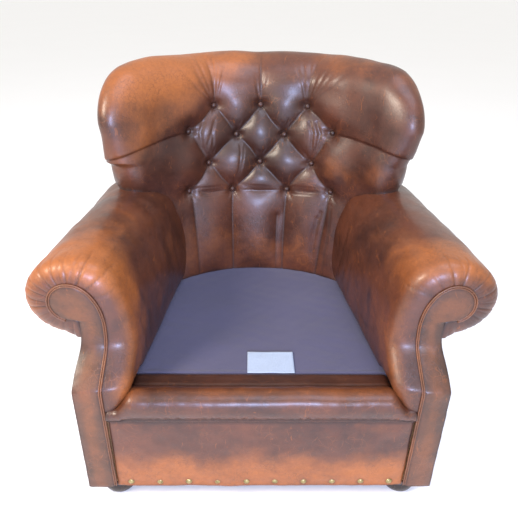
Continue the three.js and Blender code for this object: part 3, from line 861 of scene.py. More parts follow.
def make_back():
    """The padded back: one hide drawn over springs and wadding, and buttoned through."""
    s_line = stations(0, UNROLLED_HALF, lambda s: FINE_STEP if s < 232 else COARSE_STEP)
    s_line = np.concatenate([-s_line[:0:-1], s_line])
    z_line = stations(BACK_FOOT, UNROLLED_TOP, lambda z: (
        PLAIN_STEP if z < 555 else FINE_STEP if z < 905 else COARSE_STEP))
    s, z = np.meshgrid(s_line, z_line)
    places, past, z_way = back_form(s, z)
    read = quilted(lambda a, b: back_form(a, b)[0])
    height = read(s, z)
    # The fold mark is painted shade: in the folds and wrinkles and round the buttons.
    fold = np.zeros_like(s)
    for points, firm, fade in diamond_folds():
        gap, along = reach_to_line(s, z, points)
        mark = firm * bell(gap, 2.6)
        if fade:
            mark *= 1 - smoothstep(along, 1 - fade, 1)
        height -= 1.6 * mark
        fold = np.maximum(fold, 0.7 * mark)
    for points, sink, width in wrinkle_lines():
        depth, mark = crease(s, z, points, sink, width, 0.06, 0.45)
        height -= depth
        fold = np.maximum(fold, 0.15 * mark)
    for x, level in BUTTONS:
        fold = np.maximum(fold, 0.85 * bell(np.hypot(s - x, z - level), 11))
    plain = np.clip(smoothstep(np.abs(s), 215, 260) + smoothstep(z, 880, 930), 0, 1)
    height += plain * (2.2 * undulation(places, 190, 3) + 0.6 * undulation(places, 70, 4))
    for line in WING_FOLDS:
        height += lapped(s, z, line)
    gap = arm_gap(places)
    # Painted shade where the back meets the arms, and at its foot on the deck.
    fold = np.maximum(fold, 0.8 * bell(np.maximum(gap, 0), 9))
    fold = np.maximum(fold, 0.9 * bell(z - BACK_FOOT, 7))
    crest = 0.45 * np.clip((height - 4) / 18, 0, 1) + 0.3 * smoothstep(z, 860, 960)
    # Wear and dark dressing, with painted sunlight and a highlight on the crest's upper left and
    # the left wing.
    for x, level, spread, amount in BACK_WEAR_AND_SUNLIGHT:
        crest = crest + amount * bell(np.hypot(s - x, z - level), spread)
    places = places + outward(places) * height[..., None]
    # The hide stops a little way round its rear, and inside the arms.
    drop = (past > 16 + 26 * z_way ** 2) | (arm_gap(places) < -14)
    bm = net_mesh(places, {"fold": fold, "crest": np.clip(crest, -1, 1)}, drop=drop)
    piece = finish_mesh("back_pad_leather", bm, finish_for("waxed_cowhide"))
    thickened(piece, mm("hide_thickness"))
    settle(piece, "leather", "back_pad")
    return read


def spun(profile, steps):
    """A round piece: a profile of (radius, height) spun about +Z, as a bmesh in metres."""
    bm = bmesh.new()
    verts = [bm.verts.new((r * MM, 0, h * MM)) for r, h in profile]
    edges = [bm.edges.new(pair) for pair in zip(verts, verts[1:])]
    bmesh.ops.spin(bm, geom=verts + edges, cent=(0, 0, 0), axis=(0, 0, 1), dvec=(0, 0, 0),
                   angle=2 * math.pi, steps=steps, use_merge=True, use_duplicate=False)
    bmesh.ops.remove_doubles(bm, verts=bm.verts[:], dist=SAME_PLACE)
    bmesh.ops.recalc_face_normals(bm, faces=bm.faces[:])
    return bm


def make_buttons(read):
    """Buttons covered in the same hide, pulled deep into the back."""
    radius = mm("button_radius")
    profile = [(radius * r, h) for r, h in (
        (0, 4.8), (0.35, 4.5), (0.66, 3.5), (0.9, 1.6), (1, -0.6), (0.86, -3), (0.4, -4), (0, -4))]
    for i, (x, z) in enumerate(BUTTONS):
        bm = spun(profile, 20)
        place, normal = button_bed(read, x, z)
        turn = Vector(normal).to_track_quat("Z", "Y").to_matrix().to_4x4()
        spot = Matrix.Translation(Vector(to_frame(place)) + Vector(normal) * 2.2 * MM)
        bmesh.ops.transform(bm, matrix=spot @ turn, verts=bm.verts[:])
        # Painted shade darkens the sunk buttons.
        marked(bm, "fold", 0.6)
        piece = finish_mesh(f"back_button_cover_{i + 1:02d}", bm, finish_for("rubbed_cowhide"))
        settle(piece, "leather", f"back_button_{i + 1:02d}")


# ---- the arms ----

SIDES = {1: "right", -1: "left"}
# Where the gathers stand round each scroll, in degrees from the roll's outer side.
GATHERS = {
    1: (155, 123, 98, 80, 49, 20, -11, -35, -58, -76, -90),
    -1: (166, 137, 112, 90, 68, 53, 34, 20, 3, -12, -30, -52, -72, -88),
}
# Slack wrinkles on the inside of each arm: points in depth and height, then depth and width.
ARM_WRINKLES = {
    1: [
        ([(520, 560), (500, 470), (520, 380), (530, 330)], 3.6, 7.0),
        ([(470, 520), (455, 440), (470, 350)], 2.4, 7.0),
        ([(420, 470), (410, 400), (430, 340)], 1.6, 8.0),
        ([(150, 420), (230, 380), (330, 372)], 1.2, 9.0),
    ],
    -1: [
        ([(510, 540), (495, 460), (515, 350)], 2.6, 7.0),
        ([(180, 520), (210, 440), (200, 350)], 1.8, 9.0),
        ([(140, 470), (165, 400), (160, 345)], 1.6, 7.0),
        ([(300, 500), (330, 440), (320, 360)], 1.2, 10.0),
    ],
}


def arm_net():
    """The arm's padding as a net: round its closed section, and from its front to its rear."""
    outer, inner, soft_count = arm_profile()
    count = len(outer)
    x, z = outer.T
    round_over = mm("scroll_round")
    hidden = (np.arange(count) >= soft_count) | (np.arange(count) == 0)
    turns = np.radians(np.concatenate([np.linspace(0, 60, 17), np.linspace(64, 90, 8)]))
    behind_facing = facing_depth(z + 8) + 16
    rows = []
    for turn in turns:
        section = inner + (outer - inner) * math.sin(turn) ** 0.8
        depth = facing_depth(section[:, 1]) + 4 + round_over * (1 - math.cos(turn) ** 0.8)
        depth = np.where(hidden, np.maximum(behind_facing, depth), depth)
        rows.append(np.column_stack([section[:, 0], depth, section[:, 1]]))
    rear = back_front(z) - 39
    end = 16
    start = rows[-1][:, 1]
    for share in stations(0, 1, lambda v: 0.008 + 0.014 * v)[1:]:
        rows.append(np.column_stack([x, start + (rear - end - start) * share, z]))
    middle = np.array([ROLL[0] - 20, ROLL[1]])
    for turn in np.radians([25, 50, 70, 90]):
        shrink = np.where(z > 455, 1 - 0.17 * (1 - math.cos(turn)), 1.0)[:, None]
        section = middle + (outer - middle) * shrink
        depth = rear - end + end * math.sin(turn)
        rows.append(np.column_stack([section[:, 0], depth, section[:, 1]]))
    # A first row, tucked in behind the facing, keeps the pad's closed front end out of sight.
    tucked = rows[0].copy()
    tucked[:, 0] += np.where(tucked[:, 0] < 395, 6, -6) * (1 - hidden)
    tucked[:, 1] = DECK_FRONT
    net = np.stack([tucked] + rows)
    # Its foot reaches down over the end of the lip, and lies on the deck behind it.
    foot = np.interp(net[..., 1], [0, 4, 20, 45, 60, 110, 123, 134],
                     [286, 288, 310, 330, 337, 337, 328, 318])
    net[..., 2] += (foot - 317) * np.clip((352 - net[..., 2]) / 35, 0, 1)
    return net, turns, hidden


def make_arm(side):
    """One padded arm: a hide drawn over a roll and gathered round its scroll end."""
    net, turns, hidden = arm_net()
    seed = 40 if side > 0 else 60
    x, depth, z = net[..., 0], net[..., 1], net[..., 2]
    normal = outward(net)
    angle = np.degrees(np.arctan2((z - ROLL[1]) / ROLL_RADIUS, (x - ROLL[0]) / ROLL_WIDE))
    angle = np.where(angle < -110, angle + 360, angle)
    last = len(turns)
    behind = np.maximum(depth - net[last, :, 1], 0)
    row = np.maximum(np.arange(len(net))[:, None] - 1, 0)
    front_turn = np.where(row < last, turns[np.minimum(row, last - 1)], math.pi / 2)
    on_roll = np.clip(smoothstep(z, 470, 520) + (x > ROLL[0]), 0, 1)
    radius = np.maximum(np.hypot(x - ROLL[0], z - ROLL[1]), 1)
    envelope = np.sin(np.clip(front_turn * 1.25 + 0.30, 0, math.pi / 2)) ** 0.7 * bell(behind, 24)
    envelope *= 0.45 + 0.55 * np.cos(np.clip(front_turn - 0.5, 0, None)) ** 0.8
    envelope = envelope * on_roll
    gathers = GATHERS[side]
    random = np.random.default_rng(seed)
    scallop = np.zeros(x.shape)
    bounds = (gathers[0] + 34,) + gathers + (gathers[-1] - 18,)
    for high, low in zip(bounds, bounds[1:]):
        share = np.clip((high - angle) / (high - low), 0, 1)
        inside = (angle <= high) & (angle > low)
        scallop = np.where(inside, np.abs(np.sin(math.pi * share)) ** 0.5 - 0.72, scallop)
    height = mm("gather_sink") * scallop * envelope
    # The fold mark is painted shade: along the pleats and the wrinkles of the arm.
    fold = np.zeros(x.shape)
    # Each pleat has an angle, a firmness, a reach back over the roll and a sway.
    pleats = [(line, random.uniform(0.5, 1.1), random.uniform(2, 26), random.uniform(-6, 6))
              for line in gathers]
    for line in np.repeat(gathers, 2):
        pleats.append((line + random.uniform(-16, 16), random.uniform(0.2, 0.5),
                       random.uniform(3, 12), random.uniform(-7, 7)))
    for line, firm, reach, sway in pleats:
        bend = sway * np.sin(front_turn) ** 2
        gap = np.radians(np.abs(angle - line - bend - behind * 0.05 * np.sign(sway))) * radius
        mark = firm * bell(gap, 2.1) * bell(behind, reach) * on_roll
        mark *= smoothstep(front_turn, 0.0, 0.2)
        height -= 1.5 * mark
        fold = np.maximum(fold, mark * (0.75 - 0.5 * np.sin(front_turn)))
    flat = np.stack([x, depth, z], axis=-1)
    soft = smoothstep(depth, 60, 200)
    height += soft * (1.9 * undulation(flat, 210, seed) + 0.6 * undulation(flat, 75, seed + 1))
    inner_side = x < ROLL[0] - 20
    for points, sink, width in ARM_WRINKLES[side]:
        groove, mark = crease(depth, z, points, sink, width, 0.15, 0.3)
        height -= groove * inner_side
        fold = np.maximum(fold, 0.25 * mark * inner_side)
    height = np.where(hidden[None, :], 0, height)
    height[0] = 0
    crest = 0.5 * smoothstep(z, 540, 640) * (1 - 0.7 * smoothstep(depth, 140, 420))
    crest += 0.55 * smoothstep(front_turn, 0.1, 1.0) * (1 - smoothstep(behind, 20, 130))
    # The right arm is left less pale than the left: painted light falling from the left, over the
    # wear on both arms.
    crest *= 0.6 if side > 0 else 1.0
    # Painted shade at the arm's foot on the deck, and where it tucks in behind the facing.
    fold = np.maximum(fold, 0.9 * bell(z - z.min(axis=1, keepdims=True), 12))
    fold = np.maximum(fold, 0.8 * (1 - smoothstep(front_turn, 0.02, 0.16)))
    fold = np.where(hidden[None, :], 0, fold)
    net = net + normal * height[..., None]
    net[..., 0] = splayed(net[..., 0], net[..., 1])
    marks = {"fold": fold, "crest": np.clip(crest, 0, 1)}
    bm = net_mesh(net, marks, mirror=side < 0, seam=True)
    bmesh.ops.holes_fill(bm, edges=[e for e in bm.edges if e.is_boundary], sides=0)
    piece = finish_mesh(f"{SIDES[side]}_arm_leather", bm, finish_for("arm_cowhide"))
    settle(piece, "leather", f"{SIDES[side]}_arm_pad")





def make_facing(side):
    """A front facing: hide over a shaped board, crowned a little, with a scroll for its head."""
    neck = ROLL[1] - HEAD_RADIUS
    bands = ((UNDERSIDE, 344, 8), (344, 372, 2), (372, 450, 5), (450, neck - 2, 4))
    low = [np.arange(start, end, float(step)) for start, end, step in bands]
    turns = np.linspace(0.02, math.pi, 40)
    levels = np.concatenate(low + [ROLL[1] - HEAD_RADIUS * np.cos(turns)])
    share = np.sin(np.linspace(-math.pi / 2, math.pi / 2, 19)) * 0.5 + 0.5
    inner, outer = facing_edges(levels)
    width = (outer - inner)[:, None]
    x = inner[:, None] + width * share[None, :]
    z = np.repeat(levels[:, None], len(share), axis=1)
    from_edge = np.minimum(share, 1 - share)[None, :] * width
    from_top = (ROLL[1] + HEAD_RADIUS - z) * 0.8
    rim = np.minimum(from_edge, np.maximum(from_top, 0))
    flat = np.stack([x, z], axis=-1)
    seed = 70 if side > 0 else 80
    crown = 2.6 * (1 - np.exp(-rim / 8.0)) - 2.0
    crown += 0.5 * undulation(flat, 60, seed) + 0.25 * undulation(flat, 18, seed + 1)
    depth = facing_depth(z) - crown
    # Painted shade darkens the facing along its edges.
    marks = {"fold": 0.75 * bell(rim, 4.5), "crest": 0.4 * smoothstep(rim, 6, 26)}
    places = np.stack([splayed(x, depth), depth, z], axis=-1)
    bm = net_mesh(places, marks, mirror=side < 0, seam=True)
    piece = finish_mesh(f"{SIDES[side]}_facing_leather", bm, finish_for("facing_cowhide"))
    thickened(piece, 11)
    settle(piece, "facing_leather", f"{SIDES[side]}_facing")


def make_welt(side):
    """A double welt: two cords sewn in hide, up the facing's edge and round its scroll."""
    radius = mm("cord_radius")
    levels = np.linspace(UNDERSIDE + 4, HEAD_LOW, 60)
    stem = np.stack([facing_edges(levels)[0], levels], axis=1)
    turns = np.linspace(math.pi, math.pi / 2, 26)[1:]
    over = np.stack([ROLL[0] + HEAD_WIDE * np.cos(turns),
                     HEAD_LOW + HEAD_TALL * np.sin(turns)], axis=1)
    turns = np.radians(np.linspace(90, -74, 30))[1:]
    head = ROLL + HEAD_RADIUS * np.stack([np.cos(turns), np.sin(turns)], axis=1)
    line = np.concatenate([stem, over, head])
    way = np.gradient(line, axis=0)
    way /= np.linalg.norm(way, axis=1, keepdims=True)
    left = np.stack([-way[:, 1], way[:, 0]], axis=1)
    data = bpy.data.curves.new("welt", "CURVE")
    data.dimensions = "3D"
    data.bevel_depth = radius * MM
    data.bevel_resolution = 3
    data.use_fill_caps = True
    for offset in (0.6, 0.6 + 2.05 * radius):
        x, z = (line + left * offset).T
        depth = facing_depth(z) + 2.0
        depth += 0.25 * undulation(np.stack([x, z], axis=1), 40, 7 + round(offset))
        places = to_frame(np.stack([splayed(x, depth), depth, z], axis=1))
        spline = data.splines.new("POLY")
        spline.points.add(len(places) - 1)
        for point, place in zip(spline.points, places * (side, 1, 1)):
            point.co = (*place, 1.0)
    rope = bpy.data.objects.new("welt", data)
    bpy.context.scene.collection.objects.link(rope)
    view = bpy.context.evaluated_depsgraph_get()
    mesh = bpy.data.meshes.new_from_object(rope.evaluated_get(view))
    bpy.data.objects.remove(rope)
    bm = bmesh.new()
    bm.from_mesh(mesh)
    bmesh.ops.remove_doubles(bm, verts=bm.verts[:], dist=SAME_PLACE)
    bmesh.ops.recalc_face_normals(bm, faces=bm.faces[:])
    marked(bm, "crest", 0.45)
    name = f"{SIDES[side]}_facing_double_welt"
    piece = finish_mesh(name, bm, finish_for("facing_cowhide"))
    settle(piece, "facing_leather", f"{SIDES[side]}_facing_welt")


# ---- the front ----


# The lip's section, as depth and height: its seam, its roll, its sewn fold and its flat band.
LIP_SECTION = [
    (12, 262), (5, 264), (1.5, 270), (3.5, 274), (0, 279), (-4.5, 290), (-6.5, 305), (-4, 319),
    (3, 330), (14, 336.5), (28, 338.5), (42, 336), (53, 330), (60, 325.5), (64, 324.5),
    (70, 325.5), (84, 323.5), (98, 322.5), (109, 320), (111, 312), (104, 301), (70, 299),
    (48, 288), (24, 268),
]


def make_lip():
    """The soft front edge of the seat: a rolled hide over wadding, with a sewn fold under it."""
    section = smooth_line(LIP_SECTION, 3.6, closed=True)
    half = LIP_HALF + 9
    x = stations(-half, half, lambda v: 5.0)
    net = np.zeros((len(x), len(section), 3))
    net[..., 0] = x[:, None]
    net[..., 1:] = section
    depth, z = net[..., 1], net[..., 2]
    z[:] = SEAM_Z + (z - SEAM_Z) * (1 - 0.5 * smoothstep(np.abs(net[..., 0]), 300, 342))
    edge = half - np.abs(net[..., 0])
    bulge = smoothstep(z, 272, 294)
    pull = 7 * np.exp(-edge / 9.0) * bulge
    depth += (40 - depth) * pull / 60
    z += (305 - z) * pull / 40
    height = bulge * (1.1 * undulation(net, 170, 91)
                      + 0.25 * undulation(net * (1, 0.4, 0.4), 40, 92))
    height += bell(z - 281, 9) * (depth < 12) * 0.9 * undulation(net[..., :1], 22, 93)
    height *= depth < 100
    # Painted shade: in the lip's seam and sewn fold, over the band behind its roll, and at its ends
    # under the arms.
    fold = 0.8 * bell(section[None, :, 1] - 272, 4) * (depth < 20)
    fold = np.maximum(fold, 0.7 * bell(depth - 64, 4.5) * (z > 310))
    fold = np.maximum(fold, 0.5 * smoothstep(depth, 56, 74))
    fold = np.maximum(fold, 0.8 * bell(edge, 8))
    crest = 0.35 * bell(depth - 24, 26) * (z > 300)
    net = net - outward(net) * height[..., None]
    bm = net_mesh(net, {"fold": fold, "crest": crest}, seam=True)
    bmesh.ops.holes_fill(bm, edges=[e for e in bm.edges if e.is_boundary], sides=0)
    bmesh.ops.recalc_face_normals(bm, faces=bm.faces[:])
    piece = finish_mesh("front_lip_leather", bm, finish_for("lip_cowhide"))
    settle(piece, "leather", "front_lip")


NAILS = range(1, 11)


def nail_centre(i, axis):
    """The middle of a nail along one axis."""
    node = f"front_nail_{i:02d}"
    return (corner(node, 0, axis) + corner(node, 1, axis)) / 2


def make_front_panel():
    """The flat apron under the lip, nailed along its foot."""
    low, high, half = UNDERSIDE + 1, PANEL_TOP + 5, PANEL_HALF + 3
    x, z = np.meshgrid(stations(-half, half, lambda v: 5.0), stations(low, high, lambda v: 4.6))
    flat = np.stack([x, z], axis=-1)
    edge = np.minimum(half - np.abs(x), high - z)
    puff = (2.6 * smoothstep(edge, 0, 34) + 0.9 * undulation(flat * (1, 1.6), 150, 95)
            + 0.3 * undulation(flat, 45, 96))
    # Painted shade darkens the panel at its sides, under the lip, round the nails and along its
    # foot.
    fold = 0.4 * bell(half - np.abs(x), 6)
    fold = np.maximum(fold, 0.8 * smoothstep(z, PANEL_TOP - 9, PANEL_TOP))
    above = z - nail_centre(1, 2)
    beside = np.abs(x[..., None] - [nail_centre(i, 0) for i in NAILS]).min(axis=-1)
    gap = np.hypot(beside, above)
    puff -= 1.8 * bell(gap, 11)
    puff -= 0.8 * bell(above, 7)
    fold = np.maximum(fold, 0.55 * bell(gap, 10))
    fold = np.maximum(fold, 0.35 * (1 - smoothstep(z, low, low + 8)))
    # The panel is paler towards its foot.
    crest = 0.75 * (1 - smoothstep(z, 90, 215))
    bm = net_mesh(np.stack([x, 5.0 - puff, z], axis=-1), {"fold": fold, "crest": crest})
    piece = finish_mesh("front_panel_leather", bm, finish_for("rubbed_cowhide"))
    thickened(piece, SKIN_MM)
    settle(piece, "leather", "front_panel")


def make_nails():
    """Domed upholstery nails of pressed brass."""
    radius, rise = mm("nail_radius"), mm("nail_rise")
    dome = ((0, 1), (0.3, 0.95), (0.58, 0.78), (0.82, 0.46), (0.96, 0.14))
    profile = [(radius * r, rise * h) for r, h in dome]
    profile += [(radius, -0.4), (radius * 0.94, -1.2), (1.4, -1.4), (1.4, -9), (0, -10)]
    for i in NAILS:
        node = f"front_nail_{i:02d}"
        bm = spun(profile, 24)
        low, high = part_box(node)
        spot = Vector(((low.x + high.x) / 2, (FRONT_Y + 5.6) * MM, (low.z + high.z) / 2))
        lean = (Matrix.Rotation(math.pi / 2 + 0.06 * math.sin(i * 2.3), 4, "X")
                @ Matrix.Rotation(0.07 * math.cos(i * 1.7), 4, "Y"))
        bmesh.ops.transform(bm, matrix=Matrix.Translation(spot) @ lean, verts=bm.verts[:])
        piece = finish_mesh(f"front_nail_head_{i:02d}", bm, finish_for("aged_brass"))
        settle(piece, "brass", node)


# ---- the seat ----


def make_deck():
    """The seat deck: cloth over a thin pad, hemmed at the front, bare without its cushion."""
    along = np.concatenate([np.linspace(0, 0.04, 9), np.linspace(0.045, 1, 100)])
    u, v = np.meshgrid(np.linspace(-1, 1, 131), along)
    rear = on_back(u * 262, np.full(u.shape, 70.0), np.full(u.shape, DECK_TOP))[..., 1]
    depth = DECK_FRONT + (rear - DECK_FRONT) * v
    x = u * (390 - ARM_SPLAY * depth)
    flat = np.stack([x, depth], axis=-1)
    across = 1 - np.clip(np.abs(x) / 260, 0, 1) ** 2
    hang = across * np.sin(math.pi * np.clip((depth - 110) / 520, 0, 1))
    z = (DECK_TOP - mm("deck_sag") * hang + 0.9 * undulation(flat, 170, 101)
         + 0.35 * undulation(flat, 50, 102))
    hem = 1.3 * smoothstep(depth, DECK_FRONT, DECK_FRONT + 2)
    z += hem * (1 - smoothstep(depth, DECK_FRONT + 11, DECK_FRONT + 13))
    bm = net_mesh(np.stack([x, depth, z], axis=-1))
    piece = finish_mesh("seat_deck_cloth", bm, finish_for("cotton_deck_cloth"))
    thickened(piece, 20)
    settle(piece, "deck_cloth", "seat_deck")


def make_label():
    """A woven label sewn to the deck. It is left blank."""
    low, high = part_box("deck_label")
    x_line = np.linspace(low.x / MM, high.x / MM, 40)
    d_line = np.linspace(low.y / MM - FRONT_Y, high.y / MM - FRONT_Y, 30)
    x, depth = np.meshgrid(x_line, d_line)
    edge = np.minimum(np.minimum(x - x_line[0], x_line[-1] - x),
                      np.minimum(depth - d_line[0], d_line[-1] - depth))
    flat = np.stack([x, depth], axis=-1)
    z = low.z / MM + 1.9 + 0.4 * undulation(flat, 70, 111) + 0.5 * bell(edge - 5, 1.5)
    bm = net_mesh(np.stack([x, depth, z], axis=-1))
    piece = finish_mesh("blank_deck_label", bm, finish_for("woven_label"))
    thickened(piece, 0.8)
    settle(piece, "label_cloth", "deck_label")


# ---- the outside ----


OUTSIDE_ARM_TOP = 446
OUTSIDE_BACK_TOP = 874
# Half the outside back's width, between the arms and above them.
BETWEEN_ARMS, ABOVE_ARMS = 272.0, 318.0
# Where the outside back's turned edge is laid on the hide: at its sides, and under the crest.
LAID_HALF, LAID_TOP = 296, 862


def make_outside_arm(side):
    """The plain outside panel of an arm."""
    z_line = stations(UNDERSIDE + 1, OUTSIDE_ARM_TOP, lambda v: 6.0)
    v, z = np.meshgrid(np.linspace(0, 1, 84), z_line)
    start = facing_depth(z + 8) + 14
    end = back_front(z) - 44
    depth = start + (end - start) * v
    edge = np.minimum(np.minimum(depth - start, end - depth),
                      np.minimum(z - UNDERSIDE, OUTSIDE_ARM_TOP - z))
    flat = np.stack([depth, z], axis=-1)
    seed = 121 if side > 0 else 131
    puff = (3.2 * smoothstep(edge, 0, 45) + undulation(flat, 160, seed) * smoothstep(edge, 0, 30)
            + 0.3 * undulation(flat, 45, seed + 1))
    x = FACING_OUTER + puff + (facing_edges(z)[1] - FACING_OUTER) * bell(depth - start, 60)
    # Painted shade darkens the panel along its edges.
    marks = {"fold": 0.8 * bell(edge, 5), "crest": 0.2 * smoothstep(edge, 10, 80)}
    places = np.stack([x - ARM_SPLAY * depth, depth, z], axis=-1)
    bm = net_mesh(places, marks, mirror=side < 0)
    piece = finish_mesh(f"{SIDES[side]}_outside_arm_leather", bm, finish_for("waxed_cowhide"))
    thickened(piece, SKIN_MM)
    settle(piece, "leather", f"{SIDES[side]}_outside_arm")


def make_outside_back():
    """The plain outside of the back, sewn in under the crest and the wings."""
    z_line = np.concatenate([np.arange(UNDERSIDE + 1, ARM_TOP, 7.0),
                             np.arange(ARM_TOP + 2, OUTSIDE_BACK_TOP, 4.0)])
    u, z = np.meshgrid(np.linspace(-1, 1, 181), z_line)
    above = z > ARM_TOP + 1
    half = np.where(above, ABOVE_ARMS, BETWEEN_ARMS)
    s = u * half
    edge = np.minimum((1 - np.abs(u)) * half, np.minimum(z - UNDERSIDE, OUTSIDE_BACK_TOP - z))
    flat = np.stack([s, z], axis=-1)
    puff = (5.6 * smoothstep(edge, 0, 34)
            + 0.9 * undulation(flat, 220, 141) * smoothstep(edge, 0, 40))
    # Above the arms its turned edge lies on the hide that comes round from the front.
    rim = np.where(above, np.minimum(LAID_HALF - np.abs(s), LAID_TOP - z), 60.0)
    laid = smoothstep(rim, -2, 4)
    t = back_thickness(s) - 4 + puff * laid - 9 * (1 - laid)
    # Painted shade darkens the panel along its edges and where its turned edge lies on the hide.
    marks = {"fold": 0.8 * bell(np.minimum(edge, np.abs(rim)), 4),
             "crest": 0.2 * smoothstep(edge, 20, 120)}
    bm = net_mesh(on_back(-s, t, z), marks)
    piece = finish_mesh("outside_back_leather", bm, finish_for("waxed_cowhide"))
    thickened(piece, 7)
    settle(piece, "leather", "outside_back")


# The turned profile of a foot above its base, as shares of its radius and of its height.
FOOT_TURNING = ((0.93, 0.18), (1, 0.42), (0.97, 0.62), (0.84, 0.78), (0.72, 0.84), (0.69, 0.90),
                (0.70, 0.995), (0, 1))


def make_feet():
    """Turned bun feet of stained beech."""
    for node in ("right_front_foot", "left_front_foot", "right_back_foot", "left_back_foot"):
        low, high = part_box(node)
        radius, tall = (high.x - low.x) / 2 / MM, high.z / MM
        profile = [(0, 0), (radius * 0.6, 0.1), (radius * 0.80, 0.8)]
        profile += [(radius * r, tall * h) for r, h in FOOT_TURNING]
        profile = np.clip(smooth_line(profile, 2.6), 0, (radius, tall))
        bm = spun(profile, 48)
        spot = Matrix.Translation(((low.x + high.x) / 2, (low.y + high.y) / 2, 0))
        bmesh.ops.transform(bm, matrix=spot, verts=bm.verts[:])
        piece = finish_mesh(node + "_turning", bm, finish_for("stained_beech"))
        settle(piece, "foot_wood", node)


# ---- operators ----


class CLUBCHAIR_OT_back(bpy.types.Operator):
    """Pad and button the back"""
    bl_idname = "club_chair.back"
    bl_label = "Tufted Back"

    def execute(self, context):
        make_buttons(make_back())
        return {"FINISHED"}


class CLUBCHAIR_OT_arms(bpy.types.Operator):
    """Pad the two arms and gather them round their scrolls"""
    bl_idname = "club_chair.arms"
    bl_label = "Arms"

    def execute(self, context):
        make_arm(1)
        make_arm(-1)
        return {"FINISHED"}


class CLUBCHAIR_OT_facings(bpy.types.Operator):
    """Cover the front facings and run the double welts round them"""
    bl_idname = "club_chair.facings"
    bl_label = "Facings and Welts"

    def execute(self, context):
        for side in (1, -1):
            make_facing(side)
            make_welt(side)
        return {"FINISHED"}


class CLUBCHAIR_OT_front(bpy.types.Operator):
    """Make the soft front lip, the panel under it and its nails"""
    bl_idname = "club_chair.front"
    bl_label = "Front Lip, Panel and Nails"

    def execute(self, context):
        make_lip()
        make_front_panel()
        make_nails()
        return {"FINISHED"}


class CLUBCHAIR_OT_seat(bpy.types.Operator):
    """Stretch the deck cloth and sew its blank label on"""
    bl_idname = "club_chair.seat"
    bl_label = "Seat Deck and Label"

    def execute(self, context):
        make_deck()
        make_label()
        return {"FINISHED"}


class CLUBCHAIR_OT_outside(bpy.types.Operator):
    """Close the outside of the arms and of the back"""
    bl_idname = "club_chair.outside"
    bl_label = "Outside Panels"

    def execute(self, context):
        make_outside_arm(1)
        make_outside_arm(-1)
        make_outside_back()
        return {"FINISHED"}


class CLUBCHAIR_OT_feet(bpy.types.Operator):
    """Turn the four feet"""
    bl_idname = "club_chair.feet"
    bl_label = "Feet"

    def execute(self, context):
        make_feet()
        return {"FINISHED"}


class CLUBCHAIR_OT_frame(bpy.types.Operator):
    """Give the wooden frame, the webbing and the dust cover their materials"""
    bl_idname = "club_chair.frame"
    bl_label = "Frame Finishes"

    def execute(self, context):
        for name, node in NODES.items():
            if node.hide_render:
                continue
            key = "sawn_beech"
            if "webbing" in name:
                key = "jute_webbing"
            elif name == "dust_cover":
                key = "black_dust_cloth"
            node.data.materials.clear()
            node.data.materials.append(finish_for(key))
        return {"FINISHED"}


class CLUBCHAIR_OT_stage(bpy.types.Operator):
    """Lay the pale floor, hang the lights and set up the camera"""
    bl_idname = "club_chair.stage"
    bl_label = "Stage"

    def execute(self, context):
        make_stage()
        return {"FINISHED"}


def soft_light(name, place, aim, size, power, tint):
    """Hangs a round soft light and aims it."""
    data = bpy.data.lights.new(name, "AREA")
    data.shape = "DISK"
    data.size = size
    data.energy = power
    data.color = tint
    lamp = bpy.data.objects.new(name, data)
    bpy.context.scene.collection.objects.link(lamp)
    lamp.location = place
    lamp.rotation_euler = (Vector(aim) - Vector(place)).to_track_quat("-Z", "Y").to_euler()


EYE = (-0.03166, -1.37474, 1.20057)
YAW, PITCH, ROLLED = 0.0203, 0.4898, 0.0152
LENS = 37.72


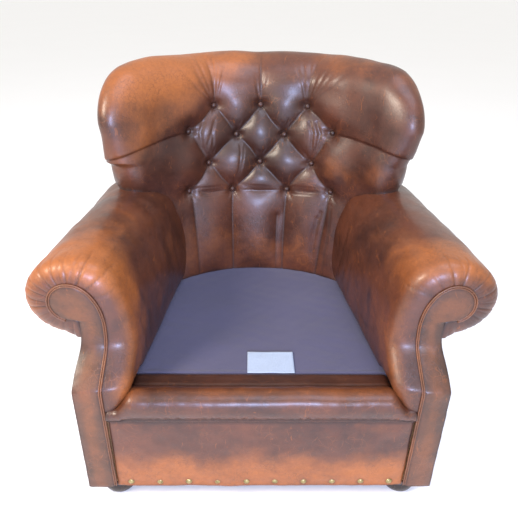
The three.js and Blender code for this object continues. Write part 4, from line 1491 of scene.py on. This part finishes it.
def make_stage():
    """Lays a pale floor, lights the room and sets the camera."""
    scene = bpy.context.scene
    bm = bmesh.new()
    bmesh.ops.create_grid(bm, x_segments=2, y_segments=2, size=60.0)
    shade = Shade("pale_floor")
    tone = shade.mix(shade.noise(shade.place, 900, 2), (0.95, 0.95, 0.95), (0.97, 0.97, 0.97))
    floor = finish_mesh("floor", bm, shade.finish({"Base Color": tone, "Roughness": 0.9}))

    world = bpy.data.worlds.new("pale_studio")
    scene.world = world
    world.use_nodes = True
    background = world.node_tree.nodes["Background"].inputs
    background["Color"].default_value = (1.0, 0.985, 0.965, 1)
    background["Strength"].default_value = 0.95
    scene.view_settings.view_transform = "Standard"

    middle = (0.0, 0.0, 0.5)
    soft_light("key", (-2.2, -1.6, 2.3), middle, 1.0, 95, (1.0, 0.88, 0.74))
    soft_light("sky", (0.5, -0.9, 3.2), middle, 2.0, 44, (0.64, 0.76, 1.0))
    soft_light("window", (0.7, -3.4, 1.7), middle, 1.7, 22, (1.0, 0.90, 0.78))
    soft_light("glass", (0.1, -3.2, 1.35), (0.0, 0.3, 0.6), 0.8, 105, (0.46, 0.58, 1.0))

    # A tall eye level looking down, a little turned and tilted.
    forward = Vector((math.sin(YAW) * math.cos(PITCH), math.cos(YAW) * math.cos(PITCH),
                      -math.sin(PITCH)))
    right = Vector((math.cos(YAW), -math.sin(YAW), 0))
    up = right.cross(forward)
    side = math.cos(ROLLED) * right + math.sin(ROLLED) * up
    top = math.cos(ROLLED) * up - math.sin(ROLLED) * right
    data = bpy.data.cameras.new("camera")
    data.sensor_width = 36
    data.lens = LENS
    camera = bpy.data.objects.new("camera", data)
    scene.collection.objects.link(camera)
    facing = Matrix((side, top, -forward)).transposed().to_4x4()
    camera.matrix_world = Matrix.Translation(EYE) @ facing
    scene.camera = camera


class CLUBCHAIR_PT_panel(bpy.types.Panel):
    bl_idname = "CLUBCHAIR_PT_panel"
    bl_label = "Worn Club Chair"
    bl_space_type = "VIEW_3D"
    bl_region_type = "UI"
    bl_category = "Club Chair"

    def draw(self, context):
        layout = self.layout
        for group in (context.scene.chair_sizes, context.scene.chair_colours):
            box = layout.box()
            for key in group.__annotations__:
                box.prop(group, key)
        for operator in OPERATORS:
            layout.operator(operator.bl_idname)


OPERATORS = (
    CLUBCHAIR_OT_back, CLUBCHAIR_OT_arms, CLUBCHAIR_OT_facings, CLUBCHAIR_OT_front,
    CLUBCHAIR_OT_seat, CLUBCHAIR_OT_outside, CLUBCHAIR_OT_feet, CLUBCHAIR_OT_frame,
    CLUBCHAIR_OT_stage,
)
CLASSES = (ChairSizes, ChairColours, *OPERATORS, CLUBCHAIR_PT_panel)


def register():
    for cls in CLASSES:
        bpy.utils.register_class(cls)
    bpy.types.Scene.chair_sizes = PointerProperty(type=ChairSizes)
    bpy.types.Scene.chair_colours = PointerProperty(type=ChairColours)


def unregister():
    del bpy.types.Scene.chair_colours
    del bpy.types.Scene.chair_sizes
    for cls in reversed(CLASSES):
        bpy.utils.unregister_class(cls)


def main():
    register()
    bpy.ops.club_chair.back()
    bpy.ops.club_chair.arms()
    bpy.ops.club_chair.facings()
    bpy.ops.club_chair.front()
    bpy.ops.club_chair.seat()
    bpy.ops.club_chair.outside()
    bpy.ops.club_chair.feet()
    bpy.ops.club_chair.frame()
    bpy.ops.club_chair.stage()
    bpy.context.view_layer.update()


if __name__ == "__main__":
    main()
